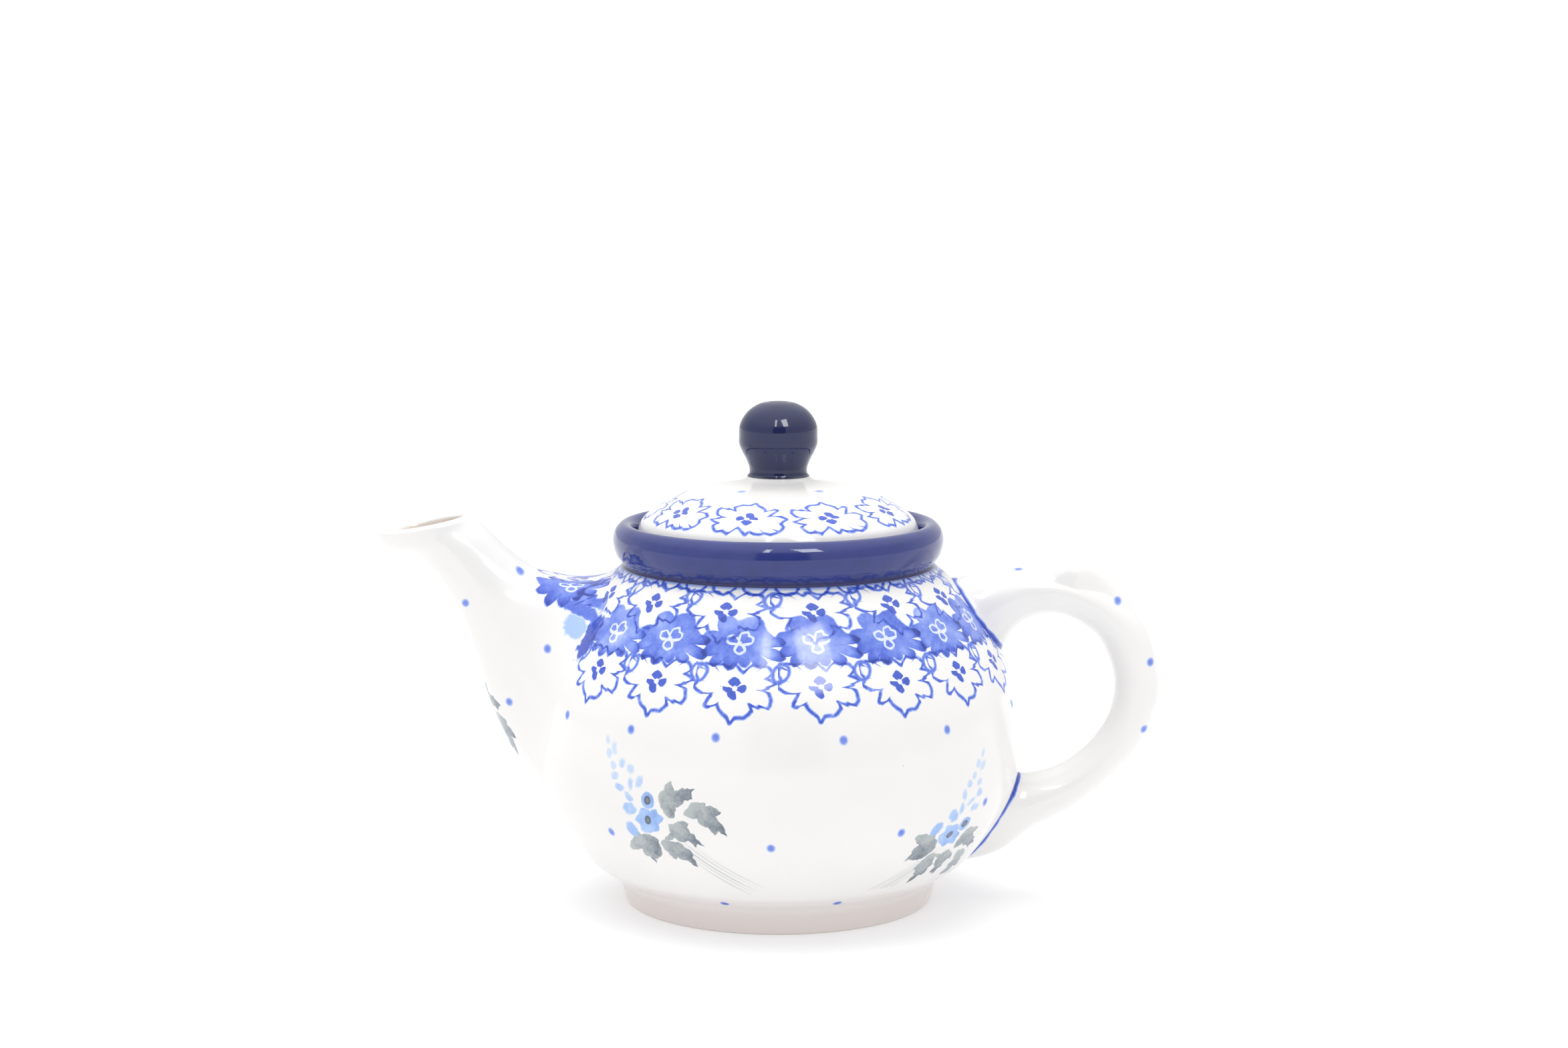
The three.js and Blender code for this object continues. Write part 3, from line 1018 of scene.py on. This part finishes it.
# The left spray stands upright; the right one has fallen over, turned clockwise about its star flower.
SPRAY_MIDDLE = 12.0
LEFT_SPRAY = (-30.0, 45.2)
RIGHT_SPRAY = (45.3, 32.6)
RIGHT_TURN = -58.0
STEM_FAN = (-24.0, 40.0)
STEM_LEAN = -47.0
STEM_BEND = 0.0012

# Ovals round the spray's middle: (u, v, half width, half height, lean in degrees).
FLORETS = [
    (-15.0, 17.4, 0.7, 1.3, 20), (-12.2, 15.2, 0.95, 1.8, 5), (-14.0, 13.7, 1.1, 1.3, 30),
    (-12.3, 10.5, 1.0, 1.2, 30), (-9.0, 11.5, 1.1, 1.3, 0), (-5.9, 10.2, 1.25, 1.35, 0),
    (-11.6, 7.6, 1.3, 1.1, 30), (-10.0, 4.4, 1.7, 1.0, -15), (-6.0, 6.0, 0.7, 1.7, -5),
    (-2.9, 6.9, 1.1, 1.9, -25), (-6.7, 1.9, 1.7, 1.0, -35),
]
PETALS = [(-6.9, -1.6, 2.3, 1.8, 0), (-7.1, -8.2, 1.8, 2.5, 15)]
BUD_CENTRE = (-0.3, 1.7)
BUD_SIZE = (2.1, 2.6)
STAR_CENTRE = (-0.6, -4.6)
FLOWER_CORES = [(-0.4, 1.7), (-0.9, -4.3)]
STAR_EDGE = by_angle([
    (-2.0, 3.9), (0.8, 3.2), (2.8, 4.1), (3.5, 2.6), (5.1, 1.5), (3.1, -0.4), (3.0, -2.5), (1.1, -3.1),
    (-1.3, -4.0), (-3.2, -3.4), (-3.2, -1.3), (-4.8, -0.1), (-3.0, 1.8),
])
# Each leaf: its middle, and its outline round that.
LEAVES = [
    ((8.0, 3.0), [
        (-1.8, -5.9), (-3.3, -4.1), (-4.5, -2.0), (-4.6, 0.4), (-2.9, 2.4), (-1.6, 4.4), (-0.8, 5.1),
        (-0.1, 3.9), (0.3, 2.4), (1.7, 2.6), (3.0, 3.8), (3.6, 3.2), (5.2, 3.4), (6.7, 3.6), (5.8, 2.6),
        (5.6, 1.4), (5.9, 0.5), (3.5, -0.2), (1.8, -2.0), (0.5, -2.2), (-0.4, -5.8),
    ]),
    ((17.5, -1.2), [
        (-6.7, -0.1), (-5.1, 2.4), (-3.8, 3.6), (-1.9, 4.0), (0.0, 4.0), (0.3, 2.8), (2.7, 2.6),
        (4.5, 1.4), (2.5, 0.0), (4.0, -1.8), (5.3, -6.1), (3.1, -4.4), (2.1, -6.0), (0.2, -3.3),
        (-1.7, -2.8), (-2.8, -1.1), (-4.7, -1.1),
    ]),
    ((9.5, -7.0), [
        (-3.6, -0.5), (-3.5, 2.4), (-2.1, 2.5), (0.0, 3.6), (1.9, 3.6), (2.5, 2.8), (1.7, 1.6),
        (2.8, 0.1), (3.9, -0.3), (4.0, -1.6), (5.9, -4.2), (4.2, -3.6), (3.1, -4.8), (2.2, -3.5),
        (1.4, -2.6), (-0.1, -3.3), (-2.9, -2.1), (-6.1, -3.6),
    ]),
    ((7.0, -14.0), [
        (-4.2, 3.7), (-2.0, 3.9), (-0.1, 3.4), (1.7, 2.9), (2.0, 1.8), (3.7, 1.0), (4.1, -0.5),
        (3.4, -1.6), (4.3, -3.1), (4.0, -5.7), (2.7, -4.4), (1.7, -3.0), (-0.1, -2.8), (-1.1, -2.3),
        (-1.8, -3.4), (-3.6, -0.9), (-5.2, 2.8),
    ]),
    ((-3.5, -13.0), [
        (4.8, 2.5), (2.9, 3.7), (1.6, 4.2), (-0.5, 3.5), (-2.1, 4.5), (-2.2, 3.2), (-3.8, 1.9),
        (-6.2, -1.6), (-6.0, -2.7), (-1.9, -1.6), (-1.8, -3.6), (-0.1, -4.5), (1.5, -7.1), (1.5, -5.4),
        (3.6, -3.9), (4.9, -1.5), (4.4, 1.3),
    ]),
]
SKY = (0.41, 0.57, 0.86)
PALE_SKY = (0.57, 0.68, 0.85)
FLOWER_BLUE = (0.29, 0.47, 0.84)
FLOWER_DEEP = (0.21, 0.33, 0.68)
CORE_DARK = (0.06, 0.06, 0.075)
CORE_LIGHT = (0.22, 0.24, 0.29)
LEAF_PALE = (0.42, 0.46, 0.46)
LEAF_MIDDLE = (0.27, 0.31, 0.34)
LEAF_DEEP = (0.115, 0.15, 0.19)
STEM_GREY = (0.50, 0.52, 0.52)


def spray_place(glaze, angle, per_degree, arc):
    """The nearer spray's own coordinates, and those of the stems, which mirror each other about the middle.

    The pair stands once in front and once behind."""
    near = front_or_back(angle)
    right = near.do("GREATER_THAN", SPRAY_MIDDLE)
    left = keep(right)

    fallen_u, fallen_v = turned((near - RIGHT_SPRAY[0]) * per_degree, arc - RIGHT_SPRAY[1], RIGHT_TURN)
    u = (near - LEFT_SPRAY[0]) * per_degree * left + (fallen_u + STAR_CENTRE[0]) * right
    v = (arc - LEFT_SPRAY[1]) * left + (fallen_v + STAR_CENTRE[1]) * right

    mirrored = abs(near - SPRAY_MIDDLE) * -1 + (SPRAY_MIDDLE - STEM_FAN[0])
    stems = mirrored * per_degree - right * 4, arc - STEM_FAN[1] + right * 7
    return glaze.wobble(u, v, 2.0, 0.3), stems


def lay_spray(glaze, u, v):
    """A larkspur-like spray: five leaves, a spike of florets and two open flowers."""
    water = glaze.noise(3.2, 3)
    mottle = glaze.noise(0.8, 2)
    ragged_u, ragged_v = glaze.wobble(u, v, 1.5, 0.6)

    for centre, outline in LEAVES:
        leaf_u, leaf_v = ragged_u - centre[0], ragged_v - centre[1]
        depth = Spot(leaf_u, leaf_v).depth(by_angle(outline))
        towards_tip = leaf_u * 0.085 - leaf_v * 0.03
        pooling = towards_tip + water * 1.5 + mottle * 0.5 - 0.62
        shade = glaze.ramp(pooling, [(0.0, LEAF_PALE), (0.5, LEAF_MIDDLE), (1.0, LEAF_DEEP)])
        glaze.lay(shade, inside(depth, 0.35) * 0.97)

    florets = None
    for a, b, wide, high, lean in FLORETS + PETALS:
        depth = blob(ragged_u, ragged_v, (a, b), (wide, high), lean)
        florets = depth if florets is None else either(florets, depth)
    fade = v * -0.045 + water * 1.6 + mottle * 0.4 - 0.4
    tint = glaze.ramp(fade, [(0.0, PALE_SKY), (0.5, SKY), (1.0, FLOWER_BLUE)])
    glaze.lay(tint, inside(florets, 0.6) * 0.95)

    bud = blob(u, v, BUD_CENTRE, BUD_SIZE)
    star = Spot(u - STAR_CENTRE[0], v - STAR_CENTRE[1])
    flower = either(bud, star.depth(STAR_EDGE))
    deep = water * 1.9 + (u + v * 0.7) * 0.05 + mottle * 0.3 - 0.5
    shade = glaze.ramp(deep, [(0.0, SKY), (0.5, FLOWER_BLUE), (1.0, FLOWER_DEEP)])
    glaze.lay(shade, inside(flower, 0.35) * 0.97)
    for centre in FLOWER_CORES:
        core = blob(u, v, centre, (1.05, 1.3))
        glaze.lay(CORE_DARK, inside(core, 0.4) * 0.92)
        glaze.lay(CORE_LIGHT, inside(core - 0.45, 0.5) * 0.8)


def lay_stems(glaze, u, v):
    """Fine grey stems that run from under the leaves down towards the middle."""
    along, across = turned(u, v, STEM_LEAN)
    bend = across + 2.9 - along * along * STEM_BEND
    fan = bend / (along * 0.012 + 0.75)
    node = add_node(u, "ShaderNodeTexNoise")
    node.inputs["Scale"].default_value = 1.0
    node.inputs["Detail"].default_value = 1.0
    feed(node.inputs["Vector"], vector(along * 0.012, fan * 1.25, 0.0))
    hair = Field(node.outputs[0]).do("MULTIPLY_ADD", 8.0, -4.0, clamp=True)
    reach = inside(along - 5.0, 4.0) * inside(along * -1 + 28.0, 9.0)
    spread = inside(abs(fan) * -1 + 3.4, 1.0) * reach
    glaze.lay(STEM_GREY, hair * spread * 0.8)


# ---- The glazes of the pieces ----

CLOUD_WHITE = (0.823, 0.808, 0.788)
IRON_SPECK = (0.35, 0.30, 0.25)
# Darker, warmer colour painted over the white near the table.
NEAR_TABLE_TINT = (0.76, 0.685, 0.655)
SPOUT_CLAY = (0.80, 0.71, 0.64)
RIM_BLUE = (0.030, 0.043, 0.205)
KNOB_BLUE = (0.014, 0.019, 0.080)
COBALT_THIN = (0.055, 0.05, 0.11)
BARE_CLAY = (0.50, 0.43, 0.35)
CLAY_DARK = (0.40, 0.33, 0.26)


def white_ground(glaze):
    """Clear glaze on pale stoneware: faint clouds, and here and there an iron speck."""
    cloud = glaze.noise(28, 3)
    glaze.lay(CLOUD_WHITE, cloud.do("MULTIPLY_ADD", 1.4, -0.45, clamp=True))
    speck = glaze.tree.nodes.new("ShaderNodeTexVoronoi")
    speck.inputs["Scale"].default_value = 1 / (9 * MM)
    feed(speck.inputs["Vector"], glaze.position)
    rare = Field(speck.outputs["Color"]).do("GREATER_THAN", 0.62)
    near = Field(speck.outputs["Distance"]).do("LESS_THAN", 0.022)
    glaze.lay(IRON_SPECK, rare * near * 0.7)


def white_skin(glaze):
    """Orange peel and the long waves that throwing leaves."""
    peel = glaze.noise(1.6, 1)
    rings = glaze.noise(9.0, 1)
    glaze.skin(peel * 0.4 + rings, 0.02)


def plain_white(name="white_glaze"):
    """White glaze all over; its colour is painted darker and warmer towards the table."""
    glaze = Glaze(name, WHITE, (0.08, 0.14))
    white_ground(glaze)
    # Colour painted darker and warmer over the lowest 13 mm, up from the table.
    near_table = (glaze.z * -1).do("MULTIPLY_ADD", 1 / 9.0, 1.5, clamp=True)
    glaze.lay(NEAR_TABLE_TINT, near_table * 0.85)
    white_skin(glaze)
    return glaze


BRUSHED_FLOWER = (-59.4, 86.0)
BRUSH_STROKE = ((-51.4, 90.0), (-58.2, 78.2))
BRUSH_WASH = ((-64.5, 92.4), (-51.0, 88.4))


def brushwork(glaze):
    """Paints the flower beside the spout's root, and gives the dark stroke that crosses it."""
    water = glaze.noise(2.2, 2)
    petals = blob(glaze.x, glaze.z, BRUSHED_FLOWER, (3.5, 3.5)) + water * 3.0 - 1.5
    glaze.lay(FLOWER_BLUE, inside(petals, 0.8) * 0.85)
    wash = inside(stroke(glaze.x, glaze.z, *BRUSH_WASH, 3.6) + water * 2.0 - 1.0, 0.6) * 0.85
    dark = inside(stroke(glaze.x, glaze.z, *BRUSH_STROKE, 3.2) + water * 2.4 - 1.2, 0.6) * 1.25
    return either(wash, dark)


def band_glaze():
    """The globe's shoulder: the rows of stamps, and a blue line under the rim."""
    glaze = plain_white("shoulder_glaze")
    angle, per_degree = around_pot(glaze)
    arc = glaze.attribute("arc")
    amount = band(glaze, angle, per_degree, arc)
    under_rim = inside(arc - 112.3, 1.6) * 0.6
    line = brushwork(glaze)
    glaze.lay(*cobalt_wash(glaze, either(amount + under_rim, line)))
    return glaze.finish()


def belly_glaze():
    """The globe's middle: the sprays with their stems, and dots."""
    glaze = plain_white("belly_glaze")
    angle, per_degree = around_pot(glaze)
    arc = glaze.attribute("arc")
    (u, v), stems = spray_place(glaze, angle, per_degree, arc)
    lay_stems(glaze, *stems)
    lay_spray(glaze, u, v)
    glaze.lay(*cobalt_wash(glaze, globe_dots(angle, arc)))
    return glaze.finish()


def lower_glaze():
    """The globe's foot: two dots in front and two behind."""
    glaze = plain_white("lower_glaze")
    angle, _ = around_pot(glaze)
    spots = [(degrees * LOWER_DEGREE, 6.7) for degrees in (-17.0, 19.0)]
    amount = dots(front_or_back(angle) * LOWER_DEGREE, glaze.attribute("arc"), spots) * 1.5
    glaze.lay(*cobalt_wash(glaze, amount))
    return glaze.finish()


# Dots on the spout's sides at (x, z), and the dot and the bloom on its shoulders at (x, distance aside).
SPOUT_DOTS = [(-67.6, 79.4), (-92.6, 91.2, -30), (-79.5, 62.5)]
SPOUT_TOP_DOT = (-76.5, 8.0)
SPOUT_BLOOM = (-61.3, 10.0)
# The middle of the spout at (share of 120 mm up, x): the spray is only in front of it.
SPOUT_FRONT = [(0, -66), (0.35, -70), (0.5, -76), (0.62, -81), (0.75, -87), (0.9, -98), (1, -110)]
SPOUT_SPRAY = (3.0, 65.0)
SPOUT_TURN = -40.0


def spout_glaze():
    """White glaze with the band's rows out on the spout's shoulders and a bloom on each side of its ridge."""
    glaze = plain_white("spout_glaze")
    angle, per_degree = around_pot(glaze)
    off = glaze.attribute("off_globe")
    arc = glaze.attribute("arc")
    beside = abs(abs(angle) - 90.0)
    clear = either(inside(beside - SPOUT_CLEAR, 1.0), inside(arc - CLEAR_BELOW, 1.0))
    shown = clear * inside(off * -1 + 6.0, 1.5)
    rows = band(glaze, angle, per_degree, arc) * shown * inside(arc - 70.0, 0.5)

    from_ridge = abs(glaze.y)
    high = inside(glaze.z - 84.0, 1.0)
    u, v = (glaze.x - SPOUT_BLOOM[0]) * 0.9, (from_ridge - SPOUT_BLOOM[1]) * -1.2
    u, v = glaze.wobble(u, v, 2.6, 0.4)
    stamped = bloom(glaze, u, v, glaze.noise(5.0, 3).do("MULTIPLY_ADD", 0.8, 0.3)) * high
    on_ridge = high * inside(from_ridge * -1 + 7.0, 1.0) * inside(off - 3.0, 1.0)
    rows = rows + stamped + clover(glaze, glaze.x + 60.0, from_ridge * -1.1 + 1.0) * on_ridge

    line = brushwork(glaze)

    plain = glaze.colour
    lay_spray(glaze, *turned(glaze.y * -1 + SPOUT_SPRAY[0], glaze.z - SPOUT_SPRAY[1], SPOUT_TURN))
    middle = through(glaze.z / 120, [(z, -x) for z, x in SPOUT_FRONT], 120.0) * -1
    glaze.lay(plain, inside(glaze.x - middle, 1.0))
    amount = dots(glaze.x, glaze.z, SPOUT_DOTS, (0.95, 1.05))
    on_top = dots(glaze.x, from_ridge, [SPOUT_TOP_DOT], (1.1, 1.3)) * inside(glaze.z - 96, 1.0)
    amount = either(either(amount, on_top), rows)
    glaze.lay(*cobalt_wash(glaze, either(amount, line)))
    glaze.lay(SPOUT_CLAY, glaze.attribute("inner") * 0.8)
    return glaze.finish()


HANDLE_TOP_DOT = (71.6, 3.0)
HANDLE_DOTS = [(101.1, 91.0, 40), (110.9, 72.8, 10), (109.4, 52.4, -20)]


def handle_glaze():
    """White glaze with a few dots, and a blue line round each root."""
    glaze = plain_white("handle_glaze")
    amount = dots(glaze.x, glaze.z, HANDLE_DOTS, (0.95, 1.05))
    on_top = dots(glaze.x, abs(glaze.y), [HANDLE_TOP_DOT], (1.1, 0.9)) * inside(glaze.z - 94, 1.0)
    amount = either(amount, on_top)
    off = glaze.attribute("off_globe")
    uneven = glaze.noise(9.0).do("MULTIPLY_ADD", 2.4, -0.5)
    root = inside(uneven - off, 0.7) * 1.3
    glaze.lay(*cobalt_wash(glaze, either(amount, root)))
    return glaze.finish()


LID_RING = 34.8
LID_STAMPS = 9
LID_DOTS = 5
LID_DOT_RING = 19.4


def lid_glaze():
    """White glaze with a ring of clovers and a few pale dots round the knob."""
    glaze = plain_white("lid_glaze")
    angle, per_degree = around_pot(glaze)
    radius = length(glaze.x, glaze.y)
    across, _ = cell(angle, LID_STAMPS, -15.0)
    u, v = glaze.wobble(across * per_degree * -1, (radius - LID_RING) * 1.36, 2.6, 0.35)
    stamps = clover(glaze, u, v) * inside(glaze.z - 112.5, 0.4)
    across, _ = cell(angle, LID_DOTS, -33.5)
    pale = dots(across * per_degree, radius, [(0, LID_DOT_RING)], (1.4, 0.9)) * 0.65
    glaze.lay(*cobalt_wash(glaze, either(stamps, pale)))
    return glaze.finish()


def cobalt_glaze(name, colour, low, fade):
    """Deep blue glaze, thinner and paler where it breaks over its lower edge."""
    glaze = Glaze(name, colour, (0.04, 0.07))
    cloud = glaze.noise(6.0, 4)
    thick = tuple(part * 0.6 for part in colour)
    glaze.lay(thick, cloud.do("MULTIPLY_ADD", 2.0, -0.7, clamp=True) * 0.6)
    thin = inside(glaze.z * -1 + low, fade)
    glaze.lay(COBALT_THIN, thin * 0.6)
    glaze.skin(glaze.noise(1.4, 1) * 0.5 + glaze.noise(7.0, 1), 0.015)
    return glaze.finish()


def bare_clay():
    """Unglazed foot: fine-grained buff stoneware."""
    glaze = Glaze("bare_clay", BARE_CLAY, (0.8, 0.9))
    glaze.lay(CLAY_DARK, glaze.noise(1.2, 4))
    glaze.skin(glaze.noise(0.5, 3), 0.06)
    return glaze.finish()


# ---- Pieces ----

globe = make_globe()
foot = make_foot()
rim = make_rim()
spout = make_spout()
handle = make_handle()
thumb_rest = make_thumb_rest()
lid = make_lid()
flange = make_flange()
knob = make_knob()

white = plain_white().finish()

BAND_BOTTOM = 64.6
BELLY_BOTTOM = 15.0


def paint_globe():
    """The inside and the underside are plain; the outside is painted in three zones."""
    for material in (white, lower_glaze(), belly_glaze(), band_glaze()):
        globe.data.materials.append(material)
    for face in globe.data.polygons:
        x, y, z = [(value - start) / MM for value, start in zip(face.center, (AXIS_X, 0, TABLE_Z))]
        outside = math.hypot(x, y) > globe_radius(z) - 0.8
        if outside and z > 5.0:
            face.material_index = 3 if z > BAND_BOTTOM else 2 if z > BELLY_BOTTOM else 1


def paint_foot():
    foot.data.materials.append(white)
    foot.data.materials.append(bare_clay())
    for face in foot.data.polygons:
        if face.normal.z < -0.8:
            face.material_index = 1


paint_globe()
paint_foot()
rim.data.materials.append(cobalt_glaze("rim_glaze", RIM_BLUE, 103.0, 0.8))
knob.data.materials.append(cobalt_glaze("knob_glaze", KNOB_BLUE, KNOB_SEAM + 0.3, 0.3))
spout.data.materials.append(spout_glaze())
dotted_white = handle_glaze()
handle.data.materials.append(dotted_white)
thumb_rest.data.materials.append(dotted_white)
lid.data.materials.append(lid_glaze())
flange.data.materials.append(white)

for obj, node, body, slot in (
    (globe, "body_shell", "pot", "painted_glaze"),
    (foot, "foot_ring", "pot", "white_glaze"),
    (rim, "rim_collar", "pot", "cobalt_glaze"),
    (spout, "spout", "pot", "painted_glaze"),
    (handle, "handle", "pot", "white_glaze"),
    (thumb_rest, "thumb_rest", "pot", "white_glaze"),
    (lid, "lid", "cover", "painted_glaze"),
    (flange, "lid_flange", "cover", "white_glaze"),
    (knob, "lid_knob", "cover", "cobalt_glaze"),
):
    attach(obj, body)
    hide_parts(node)


# ---- Floor, light and camera ----

FLOOR_GLOW = 0.42
SKY_POWER = 2.15
ROOM_LIGHT = 0.79


def make_floor():
    bpy.ops.mesh.primitive_plane_add(size=30, location=(0, 0, TABLE_Z))
    floor = bpy.context.object
    floor.name = "floor"
    material = bpy.data.materials.new("floor_paper")
    material.use_nodes = True
    shader = material.node_tree.nodes["Principled BSDF"]
    shader.inputs["Base Color"].default_value = (0.58, 0.58, 0.59, 1)
    shader.inputs["Roughness"].default_value = 0.9
    shader.inputs["Emission Color"].default_value = (1, 1, 1, 1)
    shader.inputs["Emission Strength"].default_value = FLOOR_GLOW
    floor.data.materials.append(material)


def add_window(name, azimuth, elevation, distance, width, height, power):
    """A bright rectangle that only shows in the glaze, at an angle round from the front and an angle up."""
    data = bpy.data.lights.new(name, "AREA")
    data.shape = "RECTANGLE"
    data.size = width
    data.size_y = height
    data.energy = power
    light = put_in_scene(name, data)
    a, e = math.radians(azimuth), math.radians(elevation)
    way = Vector((math.sin(a) * math.cos(e), -math.cos(a) * math.cos(e), math.sin(e)))
    light.location = Vector((AXIS_X, 0, TABLE_Z + 0.08)) + way * distance
    light.rotation_euler = (-way).to_track_quat("-Z", "Y").to_euler()
    light.visible_diffuse = False


CAMERA_DISTANCE = 0.880
CAMERA_HEIGHT = 0.233
CAMERA_PITCH = 7.74
CAMERA_SIDE = 0.0017
LENS = 68.3


def make_camera():
    data = bpy.data.cameras.new("camera")
    data.lens = LENS
    data.sensor_width = 36
    data.clip_start = 0.01
    camera = put_in_scene("camera", data)
    camera.location = (AXIS_X + CAMERA_SIDE, -CAMERA_DISTANCE, TABLE_Z + CAMERA_HEIGHT)
    camera.rotation_euler = (math.radians(90 - CAMERA_PITCH), 0, 0)
    bpy.context.scene.camera = camera


def add_sky_light():
    """A wide soft light from straight above, for the floor and the tops of things."""
    data = bpy.data.lights.new("sky", "SUN")
    data.energy = SKY_POWER
    data.angle = math.radians(60)
    light = put_in_scene("sky", data)
    light.rotation_euler = (math.radians(-5), math.radians(-5), 0)
    light.visible_glossy = False


def make_world():
    """A white room. In the glaze it shows as a dark screen round the camera and a bright ceiling."""
    world = bpy.data.worlds.new("studio")
    world.use_nodes = True
    tree = world.node_tree
    background = tree.nodes["Background"]
    background.inputs["Color"].default_value = (1, 1, 1, 1)
    path = tree.nodes.new("ShaderNodeLightPath")
    seen, mirrored = Field(path.outputs["Is Camera Ray"]), Field(path.outputs["Is Glossy Ray"])
    split = tree.nodes.new("ShaderNodeSeparateXYZ")
    feed(split.inputs[0], Field(tree.nodes.new("ShaderNodeTexCoord").outputs["Generated"]))
    aside, up = Field(split.outputs["X"]), Field(split.outputs["Z"])
    forward = Field(split.outputs["Y"]) * -1
    card = inside(abs(aside - forward * 0.06) * -1 + forward * 0.34, 0.06)
    dark = card * inside(forward - 0.3, 0.2) * inside(up * -1 + 0.60, 0.08)
    overhead = inside(up - 0.70, 0.6)
    gloss = dark * -0.78 + overhead * 0.8 + 0.85
    strength = seen * (1.1 - ROOM_LIGHT) + mirrored * (gloss - ROOM_LIGHT) + ROOM_LIGHT
    feed(background.inputs["Strength"], strength)
    bpy.context.scene.world = world
    bpy.context.scene.view_settings.view_transform = "Standard"


make_floor()
make_world()
make_camera()
add_sky_light()
add_window("tall_window", azimuth=26, elevation=50, distance=1.2, width=0.28, height=0.5, power=4.2)
add_window("slim_window", azimuth=-9, elevation=50, distance=1.2, width=0.08, height=0.5, power=1.2)
